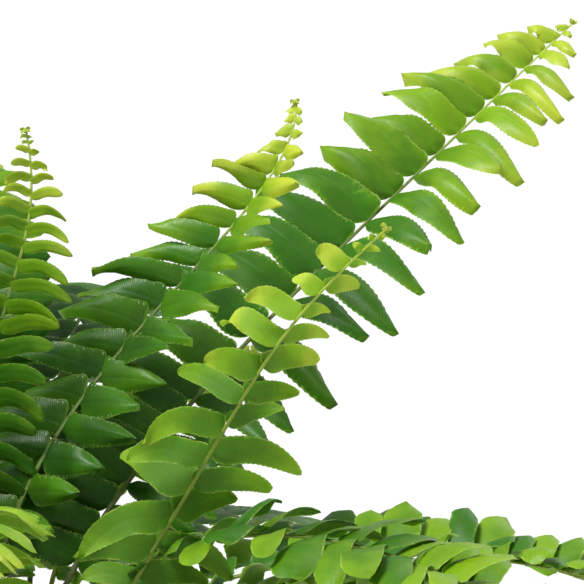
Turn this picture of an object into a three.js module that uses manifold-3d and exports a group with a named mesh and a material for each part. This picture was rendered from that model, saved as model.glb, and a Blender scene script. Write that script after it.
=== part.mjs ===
/**
 * Potted Boston fern: a plain clay pot, a plug of potting mix, and a crown of arching fronds.
 *
 * Millimetres, +Z up. The origin is the middle of the pot's underside.
 * Each frond is one closed body: a four-sided rib that carries two rows of thin leaflets, each leaflet cut
 * to the rib. The stalks stand in plain holes in the mix.
 */
import * as THREE from 'three';
import Module from 'manifold-3d';
import { mergeVertices } from 'three/addons/utils/BufferGeometryUtils.js';

const wasm = await Module();
wasm.setup();

// ---------------------------------------------------------------- driving dimensions

const POT = {
  height: 130, // floor that the pot stands on to the lip
  baseRadius: 50,
  neckRadius: 67, // outside, just under the rim band
  rimRadius: 75, // outside, at the lip
  rimHeight: 28, // height of the thicker band round the mouth
  wall: 7,
  floor: 9,
  edge: 1.5, // small flats that break the foot and the lip
  sides: 40,
  drainRadius: 4.5,
  drainCircle: 24, // the drain holes stand round a solid middle
  drainHoles: 4,
};

const MIX = {
  gap: 0.4, // between the mix and the clay
  rimDrop: 18, // lip down to the edge of the mix
  crown: 3, // how much the middle stands higher than the edge
  lump: 0.6, // height of the lumps
  rings: [12, 24, 36, 48, 58],
  sides: 28,
};

const STALK = {
  foot: 104, // height of the stalk's lower end, in its hole
  start: 115, // height where a stalk leaves the mix and its arch begins
  radius: 1.5, // half the rib's width at the foot
  tipRadius: 0.7, // half the rib's width at the tip
  holeRadius: 2.7,
  holeFloor: 103.5,
  bareSteps: 3, // stations on the bare stalk
};

const LEAFLET = {
  half: 0.36, // half the thickness
  fill: 0.84, // width over the distance between neighbours
  shoulder: 0.74, // where along its length the blade is still at full width
  tipSweep: 16, // how many degrees more than the lowest the last ones lean toward the tip
  slimWidth: 2.6, // a short leaflet's width is this and a share of its length
  slimShare: 0.32,
  sway: 5, // degrees that the lift varies from leaflet to leaflet
  vary: 0.05, // share that the length varies
  clear: 0.3, // gap kept between any two pieces
};

const BLADE = {
  end: 0.985, // share of the leafy part where the last leaflet ends
  tipLength: 0.2, // length of the last leaflets over the longest
  ribFlatness: 0.8, // height over width of the rib
  samples: 240, // steps in which the midrib is measured
};

/** How a frond's leaflets stand, where the frond has no value of its own. */
const HABIT = {
  lift: 16, // degrees that they rise above the blade's plane
  level: 0.5, // how far they turn from square across the rib toward level
  sweep: 14, // degrees that the lowest ones lean toward the tip
  blind: 12, // degrees that the far edge is raised, like a slat of a blind
  droop: 0.3, // sag of the tip, as a share of the length
  otherSide: 1, // length on the second side over that on the first
  start: 0.16, // share of the midrib below the first leaflet
  tightening: 0.4, // how much closer they stand toward the tip
  lowLength: 0.58, // length of the lowest over the longest
  fullFrom: 0.35, // share of the leafy part where they reach full length
  taper: 3.8, // how late they shorten toward the tip
};

/** The arch of a round frond: heights over the crest and places over the reach or bend. */
const ARCH = {
  rise: 0.48, // height of the point that steers the stalk
  middle: 0.5, // how far out the point that steers the arch stands
  turn: 0.3, // share of the bend that it has
};

/** Lumps of the mix: waves along x and y as [radians a mm, shift in radians], and a slanting one. */
const LUMPS = { long: [0.31, 1.3], wide: [0.27, -0.4], slant: 0.6, slantShare: 0.5 };

// ---------------------------------------------------------------- the fronds

/**
 * The fronds whose places are known one by one. Each list of points steers one smooth curve from the mix
 * to the tip. face is the heading, in degrees from +X, that the underside of the blade looks to.
 */
const NAMED_FRONDS = [
  {
    name: 'frond_main_long',
    path: [[16, 6, 115], [16, 6, 207], [172, 156, 298], [196, 177, 330], [282, 259, 397]],
    face: 78, level: 0, pairs: 21, leaf: 64, lift: 27, colour: 0x3f7f25,
    sweep: 2, droop: 0.26, start: 0.1, tightening: 0.5, lowLength: 0.75, fullFrom: 0.2, taper: 6,
  },
  {
    name: 'frond_dark_inner',
    path: [[-8, -10, 115], [-8, -10, 177], [-7, 59, 241], [134, 46, 314], [132, 74, 372]],
    face: 54, level: 0.9, pairs: 20, leaf: 48, lift: 26, colour: 0x2c6a22,
    sweep: 2, blind: 16, droop: 0.26, otherSide: 0.85, tightening: 0.45, lowLength: 0.72, fullFrom: 0.2,
    taper: 5,
  },
  {
    name: 'frond_young_front',
    path: [[30, -26, 115], [30, -26, 125], [131, -110, 290], [100, -107, 277], [166, -140, 344]],
    face: -82, level: 0.7, pairs: 14, leaf: 34, lift: 22, colour: 0x7cb83a,
    sweep: 18, blind: 40, droop: 0.48, tightening: 0.2, taper: 5.5, otherSide: 1.25,
  },
  {
    name: 'frond_upright_left',
    path: [[-14, 14, 115], [-14, 14, 166], [-28, 32, 292], [22, 39, 286], [8, 46, 362]],
    face: 84, level: 0.6, pairs: 21, leaf: 36, lift: 14, colour: 0x3a8426,
    sweep: 28, blind: 34, droop: 0.5, tightening: 0.45, taper: 5,
  },
  {
    name: 'frond_young_inner',
    path: [[14, 17, 115], [14, 17, 172], [38, 100, 226], [122, 132, 246]],
    face: 40, pairs: 12, leaf: 32, colour: 0x8cc63f,
  },
];

/**
 * The other fronds: heading in degrees, ring that the stalk stands on, reach outward, height of the arch
 * above the mix (crest), height of the tip above the mix (end), sideways bend, leaflet pairs and length.
 */
const ROUND_FRONDS = [
  // upright, from the middle of the crown
  {
    name: 'frond_upright_back', heading: 108, ring: 30, reach: 110, crest: 235, end: 226, bend: -14,
    pairs: 15, leaf: 37, colour: 0x47902a,
  },
  {
    name: 'frond_upright_side', heading: 164, ring: 30, reach: 120, crest: 270, end: 262, bend: 18,
    pairs: 15, leaf: 38, start: 0.22, colour: 0x3a8426,
  },
  {
    name: 'frond_upright_far', heading: 207, ring: 24, reach: 134, crest: 262, end: 238, bend: -16,
    pairs: 16, leaf: 37, colour: 0x47902a,
  },
  // arching
  {
    name: 'frond_arching_01', heading: 76, ring: 27, reach: 215, crest: 205, end: 122, bend: 16,
    pairs: 16, leaf: 41, colour: 0x35781f,
  },
  {
    name: 'frond_arching_02', heading: 130, ring: 36, reach: 246, crest: 214, end: 128, bend: 22,
    pairs: 17, leaf: 42, colour: 0x2f7020,
  },
  {
    name: 'frond_arching_03', heading: 176, ring: 27, reach: 270, crest: 226, end: 150, bend: -20,
    pairs: 17, leaf: 43, colour: 0x35781f,
  },
  {
    name: 'frond_arching_04', heading: 230, ring: 38, reach: 256, crest: 212, end: 128, bend: -18,
    pairs: 17, leaf: 43, colour: 0x2c6a22,
  },
  {
    name: 'frond_arching_05', heading: 265, ring: 30, reach: 170, crest: 148, end: 96, bend: 16,
    pairs: 15, leaf: 38, colour: 0x86bd3c,
  },
  {
    name: 'frond_arching_06', heading: 332, ring: 27, reach: 262, crest: 140, end: 54, bend: -8,
    pairs: 16, leaf: 41, lift: 28, colour: 0x5fa32e,
  },
  // low, round the rim
  {
    name: 'frond_low_01', heading: 2, ring: 40, reach: 292, crest: 108, end: 30, bend: 16,
    pairs: 17, leaf: 36, lift: 34, colour: 0x5fa32e,
  },
  {
    name: 'frond_low_02', heading: -15, ring: 41, reach: 286, crest: 112, end: 32, bend: -12,
    pairs: 17, leaf: 38, lift: 26, colour: 0x4a9128,
  },
  {
    name: 'frond_low_03', heading: 24, ring: 39, reach: 280, crest: 88, end: 12, bend: -14,
    pairs: 16, leaf: 37, lift: 26, colour: 0x3d8324,
  },
  {
    name: 'frond_low_04', heading: 58, ring: 40, reach: 275, crest: 84, end: -14, bend: 16,
    pairs: 15, leaf: 40, colour: 0x2f7020,
  },
  {
    name: 'frond_low_05', heading: 96, ring: 40, reach: 290, crest: 96, end: -8, bend: -18,
    pairs: 15, leaf: 40, colour: 0x3a8426,
  },
  {
    name: 'frond_low_06', heading: 128, ring: 41, reach: 268, crest: 78, end: -34, bend: 14,
    pairs: 15, leaf: 39, colour: 0x2f7020,
  },
  {
    name: 'frond_low_07', heading: 154, ring: 44, reach: 292, crest: 104, end: 4, bend: -22,
    pairs: 16, leaf: 41, colour: 0x35781f,
  },
  {
    name: 'frond_low_08', heading: 192, ring: 41, reach: 282, crest: 90, end: -20, bend: 18,
    pairs: 15, leaf: 40, colour: 0x2c6a22,
  },
  {
    name: 'frond_low_09', heading: 212, ring: 43, reach: 268, crest: 70, end: -42, bend: -12,
    pairs: 15, leaf: 38, colour: 0x3a8426,
  },
  {
    name: 'frond_low_10', heading: 246, ring: 43, reach: 286, crest: 92, end: -12, bend: 20,
    pairs: 15, leaf: 40, colour: 0x35781f,
  },
  {
    name: 'frond_low_11', heading: 277, ring: 42, reach: 262, crest: 74, end: -30, bend: -16,
    pairs: 15, leaf: 39, colour: 0x2f7020,
  },
  {
    name: 'frond_low_12', heading: 306, ring: 40, reach: 276, crest: 80, end: -18, bend: 14,
    pairs: 15, leaf: 40, colour: 0x2c6a22,
  },
];

// ---------------------------------------------------------------- small helpers

const UP = new THREE.Vector3(0, 0, 1);
const radians = THREE.MathUtils.degToRad;

/** The point at share t of the smooth curve that a list of points steers, by repeated halfway mixing. */
function curvePoint(points, t) {
  let row = points;
  while (row.length > 1) {
    row = row.slice(1).map((point, i) => row[i].clone().lerp(point, t));
  }
  return row[0];
}

/** A steady value between -1 and 1 for frond i and leaflet j. */
function jitter(i, j) {
  const value = Math.sin(i * 12.9898 + j * 78.233) * 43758.5453;
  return 2 * (value - Math.floor(value)) - 1;
}

/** A geometry from a flat list of corner points, three to a triangle. */
function geometryFrom(corners) {
  const geometry = new THREE.BufferGeometry();
  geometry.setAttribute('position', new THREE.Float32BufferAttribute(corners.flatMap((p) => p.toArray()), 3));
  return mergeVertices(geometry, 1e-4);
}

/** The solid that a closed geometry bounds. */
function solidFrom(geometry) {
  const bare = geometry.clone();
  bare.deleteAttribute('normal');
  bare.deleteAttribute('uv');
  const merged = mergeVertices(bare, 1e-4);
  return new wasm.Manifold(new wasm.Mesh({
    numProp: 3,
    vertProperties: new Float32Array(merged.attributes.position.array),
    triVerts: new Uint32Array(merged.index.array),
  }));
}

/** The geometry of a solid. */
function geometryOf(solid) {
  const mesh = solid.getMesh();
  const geometry = new THREE.BufferGeometry();
  geometry.setAttribute('position', new THREE.BufferAttribute(new Float32Array(mesh.vertProperties), 3));
  geometry.setIndex(new THREE.BufferAttribute(new Uint32Array(mesh.triVerts), 1));
  return geometry;
}

/** A named mesh with its own material. */
function piece(name, geometry, colour, roughness) {
  const shown = geometry.toNonIndexed();
  shown.computeVertexNormals();
  const material = new THREE.MeshStandardMaterial({ color: colour, roughness, metalness: 0 });
  const mesh = new THREE.Mesh(shown, material);
  mesh.name = name;
  return mesh;
}

/** An upright prism with its foot at (x, y, bottom). */
function prism(x, y, bottom, top, radius, sides) {
  const geometry = new THREE.CylinderGeometry(radius, radius, top - bottom, sides);
  geometry.rotateX(Math.PI / 2);
  geometry.translate(x, y, (top + bottom) / 2);
  return solidFrom(geometry);
}

// ---------------------------------------------------------------- pot and mix

/** Inner radius of the pot at height z. */
function potInside(z) {
  const share = (z - POT.floor) / (POT.height - POT.floor);
  const low = POT.baseRadius - POT.wall + 1;
  const high = POT.rimRadius - POT.wall - 1;
  return low + (high - low) * share;
}

/** A turned clay pot with a band round its mouth and drain holes in its floor. */
function makePot() {
  const bandFoot = POT.height - POT.rimHeight;
  const step = 2 * POT.edge;
  const outline = [
    [0, 0],
    [POT.baseRadius - POT.edge, 0],
    [POT.baseRadius, POT.edge],
    [POT.neckRadius, bandFoot],
    [POT.rimRadius - 2 * POT.edge, bandFoot + POT.edge],
    [POT.rimRadius - POT.edge, bandFoot + step],
    [POT.rimRadius, POT.height - POT.edge],
    [POT.rimRadius - POT.edge, POT.height],
    [potInside(POT.height) + POT.edge, POT.height],
    [potInside(POT.height - POT.edge), POT.height - POT.edge],
    [potInside(POT.floor + step), POT.floor + step],
    [potInside(POT.floor) - step, POT.floor],
    [0, POT.floor],
  ].map(([r, z]) => new THREE.Vector2(r, z));
  const geometry = new THREE.LatheGeometry(outline, POT.sides);
  geometry.rotateX(Math.PI / 2);
  let solid = solidFrom(geometry);
  for (let i = 0; i < POT.drainHoles; i += 1) {
    const angle = ((i + 0.5) / POT.drainHoles) * 2 * Math.PI;
    const x = POT.drainCircle * Math.cos(angle);
    const y = POT.drainCircle * Math.sin(angle);
    solid = solid.subtract(prism(x, y, -1, POT.floor + 1, POT.drainRadius, 12));
  }
  return piece('pot', geometryOf(solid), 0xb5653f, 0.9);
}

/** Height of the mix at a place: a low dome with lumps. */
function mixHeight(x, y) {
  const edge = POT.height - MIX.rimDrop;
  const share = Math.min(1, Math.hypot(x, y) / potInside(edge));
  const long = Math.sin(LUMPS.long[0] * x + LUMPS.long[1]);
  const wide = Math.cos(LUMPS.wide[0] * y + LUMPS.wide[1]);
  const lumps = long * wide + LUMPS.slantShare * Math.sin(LUMPS.slant * (x - y));
  return edge + MIX.crown * (1 - share * share) + MIX.lump * lumps * (1 - share ** 8);
}

/** The plug of potting mix, with one plain hole for each stalk. */
function makeMix(stalks) {
  const edge = POT.height - MIX.rimDrop;
  const bottom = POT.floor + MIX.gap;
  const corners = [];
  const at = (radius, k, z) => {
    const angle = ((k % MIX.sides) / MIX.sides) * 2 * Math.PI;
    const x = radius * Math.cos(angle);
    const y = radius * Math.sin(angle);
    return new THREE.Vector3(x, y, z ?? mixHeight(x, y));
  };
  const topRadius = potInside(edge) - 2 * MIX.gap;
  const footRadius = potInside(POT.floor) - 2 * POT.edge - MIX.gap;
  const kneeHeight = POT.floor + 2 * POT.edge + MIX.gap;
  const kneeRadius = potInside(kneeHeight) - 2 * MIX.gap;
  const wall = [[topRadius, edge], [kneeRadius, kneeHeight], [footRadius, bottom]];
  const loops = [...MIX.rings.map((r) => [r, undefined]), ...wall];
  const topMiddle = new THREE.Vector3(0, 0, mixHeight(0, 0));
  const footMiddle = new THREE.Vector3(0, 0, bottom);
  for (let k = 0; k < MIX.sides; k += 1) {
    corners.push(topMiddle, at(...[loops[0][0], k, loops[0][1]]), at(loops[0][0], k + 1, loops[0][1]));
    for (let i = 0; i + 1 < loops.length; i += 1) {
      const [innerRadius, innerZ] = loops[i];
      const [outerRadius, outerZ] = loops[i + 1];
      const a = at(innerRadius, k, innerZ);
      const b = at(outerRadius, k, outerZ);
      const c = at(outerRadius, k + 1, outerZ);
      const d = at(innerRadius, k + 1, innerZ);
      corners.push(a, b, c, a, c, d);
    }
    corners.push(at(footRadius, k + 1, bottom), at(footRadius, k, bottom), footMiddle);
  }
  let solid = solidFrom(geometryFrom(corners));
  for (const [x, y] of stalks) {
    solid = solid.subtract(prism(x, y, STALK.holeFloor, POT.height, STALK.holeRadius, 6));
  }
  return piece('potting_mix', geometryOf(solid), 0x3a2a1e, 1);
}

// ---------------------------------------------------------------- fronds

/** The steering points of a frond that is given by its heading and reach. */
function roundPath({ heading, ring, reach, crest, end, bend }) {
  const out = new THREE.Vector3(Math.cos(radians(heading)), Math.sin(radians(heading)), 0);
  const side = new THREE.Vector3(-out.y, out.x, 0);
  const foot = out.clone().multiplyScalar(ring).setZ(STALK.start);
  const point = (outward, height, sideways) => foot.clone()
    .addScaledVector(out, outward).addScaledVector(UP, height).addScaledVector(side, sideways);
  const over = point(ARCH.middle * reach, crest, ARCH.turn * bend);
  return [foot, point(0, ARCH.rise * crest, 0), over, point(reach, end, bend)];
}

/** Stations along a frond: the place, the direction, and the two directions across it. */
function stations(frond) {
  const { samples } = BLADE;
  const dense = Array.from({ length: samples + 1 }, (_, i) => curvePoint(frond.points, i / samples));
  const lengths = [0];
  for (let i = 1; i <= samples; i += 1) {
    lengths.push(lengths[i - 1] + dense[i].distanceTo(dense[i - 1]));
  }
  const total = lengths[samples];
  const side = new THREE.Vector3(-Math.sin(radians(frond.face)), Math.cos(radians(frond.face)), 0);
  const shares = [];
  for (let i = 0; i < STALK.bareSteps; i += 1) {
    shares.push((frond.start * i) / STALK.bareSteps);
  }
  for (let i = 0; i <= frond.pairs; i += 1) {
    const u = i / frond.pairs;
    const spaced = (1 + frond.tightening) * u - frond.tightening * u * u;
    shares.push(frond.start + (1 - frond.start) * BLADE.end * spaced);
  }
  const list = shares.map((share) => {
    const goal = share * total;
    const i = Math.max(1, lengths.findIndex((length) => length >= goal));
    const between = (goal - lengths[i - 1]) / (lengths[i] - lengths[i - 1]);
    const place = dense[i - 1].clone().lerp(dense[i], between);
    const along = dense[i].clone().sub(dense[i - 1]).normalize();
    const across = side.clone().addScaledVector(along, -side.dot(along)).normalize();
    const above = along.clone().cross(across).normalize();
    const radius = THREE.MathUtils.lerp(STALK.radius, STALK.tipRadius, share);
    return { place, across, above, radius };
  });
  return { list, side, tip: dense[samples] };
}

/** Length of a leaflet over the longest one, at share u of the leafy part. */
function lengthShare({ lowLength, fullFrom, taper }, u) {
  const rise = THREE.MathUtils.smoothstep(u, 0, fullFrom);
  return THREE.MathUtils.lerp(lowLength, 1, rise) * Math.max(BLADE.tipLength, 1 - u ** taper);
}

/**
 * One leaflet's three free corners: near shoulder, tip, far shoulder. side is +1 or -1. lift is the angle
 * above the blade's plane and scale shortens it.
 */
function leafletShape(frond, from, to, side, lift, scale, index) {
  const u = (index + 0.5) / frond.pairs;
  const root = from.place.clone().lerp(to.place, 0.5);
  const pitch = from.place.distanceTo(to.place);
  const along = to.place.clone().sub(from.place).normalize();
  const across = from.across.clone().add(to.across).normalize().lerp(frond.stations.side, frond.level)
    .normalize().multiplyScalar(side);
  const above = from.above.clone().add(to.above).normalize();
  const sweep = radians(frond.sweep + LEAFLET.tipSweep * u * u);
  const flat = across.clone().multiplyScalar(Math.cos(sweep)).addScaledVector(along, Math.sin(sweep));
  const angle = radians(frond.lift + lift + LEAFLET.sway * jitter(frond.number, 2 * index + side));
  const out = flat.clone().multiplyScalar(Math.cos(angle)).addScaledVector(above, Math.sin(angle));
  const wide = along.clone().addScaledVector(out, -along.dot(out)).normalize();
  const face = out.clone().cross(wide).multiplyScalar(side > 0 ? -1 : 1).normalize();
  const blind = radians(frond.blind);
  const slat = wide.clone().multiplyScalar(Math.cos(blind)).addScaledVector(face, Math.sin(blind));
  const varied = 1 + LEAFLET.vary * jitter(frond.number + 1, 2 * index + side);
  const share = side > 0 ? 1 : frond.otherSide;
  const length = frond.leaf * lengthShare(frond, u) * scale * varied * share;
  const room = pitch * along.clone().cross(out).length();
  const width = Math.min(room * LEAFLET.fill, LEAFLET.slimShare * length + LEAFLET.slimWidth);
  const axis = (t) => root.clone().addScaledVector(out, length * t)
    .addScaledVector(UP, -frond.droop * length * t * t);
  const shoulder = axis(LEAFLET.shoulder);
  return {
    near: shoulder.clone().addScaledVector(slat, -width / 2),
    tip: axis(1),
    far: shoulder.clone().addScaledVector(slat, width / 2),
    face,
  };
}

/** The rib's four corners at a station: left and right, above and below. */
function ribCorners(station) {
  const corner = (sideways, upward) => station.place.clone()
    .addScaledVector(station.across, sideways * station.radius)
    .addScaledVector(station.above, upward * station.radius * BLADE.ribFlatness);
  return {
    leftTop: corner(1, 1),
    rightTop: corner(-1, 1),
    rightUnder: corner(-1, -1),
    leftUnder: corner(1, -1),
  };
}

// ---------------------------------------------------------------- keeping clear

/** Shortest distance between segments p1-q1 and p2-q2. */
function segmentGap(p1, q1, p2, q2) {
  const d1 = q1.clone().sub(p1);
  const d2 = q2.clone().sub(p2);
  const r = p1.clone().sub(p2);
  const a = d1.dot(d1);
  const e = d2.dot(d2);
  const f = d2.dot(r);
  const c = d1.dot(r);
  const b = d1.dot(d2);
  const denominator = a * e - b * b;
  let s = denominator > 1e-9 ? THREE.MathUtils.clamp((b * f - c * e) / denominator, 0, 1) : 0;
  let t = (b * s + f) / e;
  if (t < 0) {
    t = 0;
    s = THREE.MathUtils.clamp(-c / a, 0, 1);
  } else if (t > 1) {
    t = 1;
    s = THREE.MathUtils.clamp((b - c) / a, 0, 1);
  }
  return p1.clone().addScaledVector(d1, s).distanceTo(p2.clone().addScaledVector(d2, t));
}

const ray = new THREE.Ray();
const hit = new THREE.Vector3();
const nearest = new THREE.Vector3();

/** Shortest distance between two triangles, zero where they cross. */
function triangleGap(a, b) {
  let gap = Infinity;
  for (const [one, other] of [[a, b], [b, a]]) {
    const corners = [one.a, one.b, one.c];
    for (let i = 0; i < 3; i += 1) {
      const from = corners[i];
      const to = corners[(i + 1) % 3];
      const span = from.distanceTo(to);
      ray.set(from, to.clone().sub(from).normalize());
      if (ray.intersectTriangle(other.a, other.b, other.c, false, hit) && hit.distanceTo(from) <= span) {
        return 0;
      }
      gap = Math.min(gap, other.closestPointToPoint(from, nearest).distanceTo(from));
    }
  }
  const edges = (tri) => [[tri.a, tri.b], [tri.b, tri.c], [tri.c, tri.a]];
  for (const [p1, q1] of edges(a)) {
    for (const [p2, q2] of edges(b)) {
      gap = Math.min(gap, segmentGap(p1, q1, p2, q2));
    }
  }
  return gap;
}

/** A thin plate for the clearance test: its triangle, box, half thickness and owner. */
function plate(a, b, c, half, owner) {
  const triangle = new THREE.Triangle(a, b, c);
  const box = new THREE.Box3().setFromPoints([a, b, c]).expandByScalar(half + LEAFLET.clear);
  return { triangle, box, half, owner };
}

/** True where none of the plates comes near any plate of another owner. */
function isClear(plates, placed) {
  return plates.every((one) => placed.every((other) => other.owner === one.owner
    || !one.box.intersectsBox(other.box)
    || triangleGap(one.triangle, other.triangle) > one.half + other.half + LEAFLET.clear));
}

/** Bends and shortenings that a leaflet tries, mildest first. */
const LIFTS = [0, 9, -9, 18, -18, 28, -28, 40, -40];
const SCALES = [1, 0.84, 0.7, 0.56, 0.42, 0.3, 0.2];

/** The leaflet in the mildest bend that keeps it clear of all that is placed. */
function placeLeaflet(frond, from, to, side, index, placed) {
  let shape;
  for (const scale of SCALES) {
    for (const lift of LIFTS) {
      shape = leafletShape(frond, from, to, side, lift, scale, index);
      const edge = from.place.clone().addScaledVector(from.across, side * from.radius);
      const nextEdge = to.place.clone().addScaledVector(to.across, side * to.radius);
      const plates = [
        plate(edge, shape.near, shape.far, 2 * LEAFLET.half, frond.name),
        plate(edge, shape.far, nextEdge, 2 * LEAFLET.half, frond.name),
        plate(shape.near, shape.tip, shape.far, LEAFLET.half, frond.name),
      ];
      if (isClear(plates, placed)) {
        placed.push(...plates);
        return shape;
      }
    }
  }
  console.warn(`${frond.name}: leaflet ${index} stays close to a neighbour`);
  return shape;
}

/** Triangles of one frond, its ribs already placed. */
function frondGeometry(frond, placed) {
  const { list, tip } = frond.stations;
  const rings = list.map(ribCorners);
  const corners = [];
  const quad = (a, b, c, d) => corners.push(a, b, c, a, c, d);
  const first = rings[0];
  const foot = Object.fromEntries(Object.entries(first).map(([key, p]) => [key, p.clone().setZ(STALK.foot)]));
  rings.unshift(foot);
  quad(foot.leftTop, foot.leftUnder, foot.rightUnder, foot.rightTop);
  for (let i = 0; i + 1 < rings.length; i += 1) {
    const a = rings[i];
    const b = rings[i + 1];
    quad(a.leftTop, a.rightTop, b.rightTop, b.leftTop);
    quad(a.rightUnder, a.leftUnder, b.leftUnder, b.rightUnder);
    const index = i - 1 - STALK.bareSteps;
    if (index < 0) {
      quad(a.leftUnder, a.leftTop, b.leftTop, b.leftUnder);
      quad(a.rightTop, a.rightUnder, b.rightUnder, b.rightTop);
      continue;
    }
    for (const side of [1, -1]) {
      const shape = placeLeaflet(frond, list[i - 1], list[i], side, index, placed);
      const lift = shape.face.clone().multiplyScalar(LEAFLET.half);
      const top = [shape.near, shape.tip, shape.far].map((p) => p.clone().add(lift));
      const under = [shape.near, shape.tip, shape.far].map((p) => p.clone().sub(lift));
      const hand = side > 0 ? 'left' : 'right';
      const rimTop = [a[`${hand}Top`], ...top, b[`${hand}Top`]];
      const rimUnder = [a[`${hand}Under`], ...under, b[`${hand}Under`]];
      const add = (p, q, r) => (side > 0 ? corners.push(p, q, r) : corners.push(p, r, q));
      for (const [p, q, r] of [[0, 1, 3], [1, 2, 3], [0, 3, 4]]) {
        add(rimTop[p], rimTop[r], rimTop[q]);
        add(rimUnder[p], rimUnder[q], rimUnder[r]);
      }
      for (let k = 0; k < 4; k += 1) {
        add(rimTop[k], rimTop[k + 1], rimUnder[k + 1]);
        add(rimTop[k], rimUnder[k + 1], rimUnder[k]);
      }
    }
  }
  const last = rings[rings.length - 1];
  const end = [last.leftTop, last.rightTop, last.rightUnder, last.leftUnder];
  end.forEach((p, k) => corners.push(p, end[(k + 1) % 4], tip));
  return geometryFrom(corners);
}

/** The plates that stand for a frond's rib in the clearance test. */
function ribPlates(frond) {
  const { list } = frond.stations;
  return list.slice(1).map((to, i) => {
    const from = list[i];
    const side = to.across.clone().multiplyScalar(0.1);
    return plate(from.place, to.place, to.place.clone().add(side), from.radius, frond.name);
  });
}

// ---------------------------------------------------------------- assembly

const fronds = [
  ...NAMED_FRONDS.map((frond) => ({ ...frond, points: frond.path.map((p) => new THREE.Vector3(...p)) })),
  ...ROUND_FRONDS.map((frond) => ({ ...frond, face: frond.heading, points: roundPath(frond) })),
].map((frond) => ({ ...HABIT, ...frond }));
fronds.forEach((frond, number) => {
  frond.number = number;
  frond.stations = stations(frond);
});
const placed = fronds.flatMap(ribPlates);

const fern = new THREE.Group();
fern.add(makePot());
fern.add(makeMix(fronds.map(({ points: [foot] }) => [foot.x, foot.y])));
for (const frond of fronds) {
  fern.add(piece(frond.name, frondGeometry(frond, placed), frond.colour, 0.45));
}

export default fern;
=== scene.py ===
"""Looks of a potted Boston fern: a turned clay pot, a bed of potting mix and twenty-six fronds.

The classes that make shapes work in millimetres, with +Z up and the origin in the middle of the pot's
underside, and meshes are turned into metres when they are made. Finishes and the studio work in metres. Each
frond is one mesh: a grooved rib with a coiled tip, chaffy scales, and two rows of thin leaflets with
scalloped margins.
"""

import logging
from abc import ABC, abstractmethod
from dataclasses import dataclass
from enum import Enum
from math import comb

import bpy
import numpy as np
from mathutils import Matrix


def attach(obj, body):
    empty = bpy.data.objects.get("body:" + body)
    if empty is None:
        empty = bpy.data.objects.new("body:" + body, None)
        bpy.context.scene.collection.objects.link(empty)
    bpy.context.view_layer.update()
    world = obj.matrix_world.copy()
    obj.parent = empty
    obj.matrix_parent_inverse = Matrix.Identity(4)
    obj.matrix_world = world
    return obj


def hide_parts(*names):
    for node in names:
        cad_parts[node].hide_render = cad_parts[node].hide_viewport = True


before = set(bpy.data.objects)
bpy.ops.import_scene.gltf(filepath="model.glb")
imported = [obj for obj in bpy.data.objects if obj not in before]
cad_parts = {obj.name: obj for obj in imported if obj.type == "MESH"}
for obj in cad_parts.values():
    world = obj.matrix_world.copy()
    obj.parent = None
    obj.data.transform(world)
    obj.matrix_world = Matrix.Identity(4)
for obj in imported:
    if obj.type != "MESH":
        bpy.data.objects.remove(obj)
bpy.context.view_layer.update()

Array = np.ndarray
Socket = bpy.types.NodeSocket
MM = 0.001
UP = np.array([0.0, 0.0, 1.0])
log = logging.getLogger("potted_fern")


class Slot(Enum):
    """The record's material slots."""

    CLAY = "clay"
    MIX = "mix"
    GREEN = "leaf_green"
    DARK = "leaf_dark"
    YOUNG = "leaf_young"


class Part(Enum):
    """Which finish a group of faces on a frond takes."""

    LEAF = 0
    RIB = 1
    CHAFF = 2


# ---------------------------------------------------------------- small sums


def unit(vectors: Array) -> Array:
    """The same directions at length one, over the last axis."""
    return vectors / np.maximum(np.linalg.norm(vectors, axis=-1, keepdims=True), 1e-12)


def dot(a: Array, b: Array) -> Array:
    """The dot product over the last axis, kept as an axis of one."""
    return np.sum(a * b, axis=-1, keepdims=True)


def smooth(low: float, high: float, x: Array) -> Array:
    """A smooth step: 0 below low, 1 above high, and 3q^2 - 2q^3 between."""
    q = np.clip((x - low) / (high - low), 0.0, 1.0)
    return q * q * (3.0 - 2.0 * q)


def quarter(x: Array, power: float) -> Array:
    """A quarter of a superellipse: (1 - (1 - x)^power)^(1 / power), from 0 at x = 0 to 1 at x = 1."""
    return (1.0 - (1.0 - np.clip(x, 0.0, 1.0)) ** power) ** (1.0 / power)


def jitter(i: float, j: Array) -> Array:
    """A steady value between -1 and 1 for frond i and leaflet j: the fraction of a fast sine."""
    value = np.sin(i * 12.9898 + j * 78.233) * 43758.5453
    return 2.0 * (value - np.floor(value)) - 1.0


def heading_vector(degrees: float) -> Array:
    """The level direction at an angle from +X."""
    angle = np.radians(degrees)
    return np.array([np.cos(angle), np.sin(angle), 0.0])


def ring_angles(count: int) -> Array:
    """Evenly spaced angles of one full turn, from 0 on."""
    return np.arange(count) * 2.0 * np.pi / count


# ---------------------------------------------------------------- meshes


@dataclass
class Faces:
    """Faces with the same number of corners, and what they have in common.

    corners holds one row of point numbers for each face. under is 1 on a leaflet's lower side.
    """

    corners: Array
    part: int = 0
    under: float = 0.0


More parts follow.
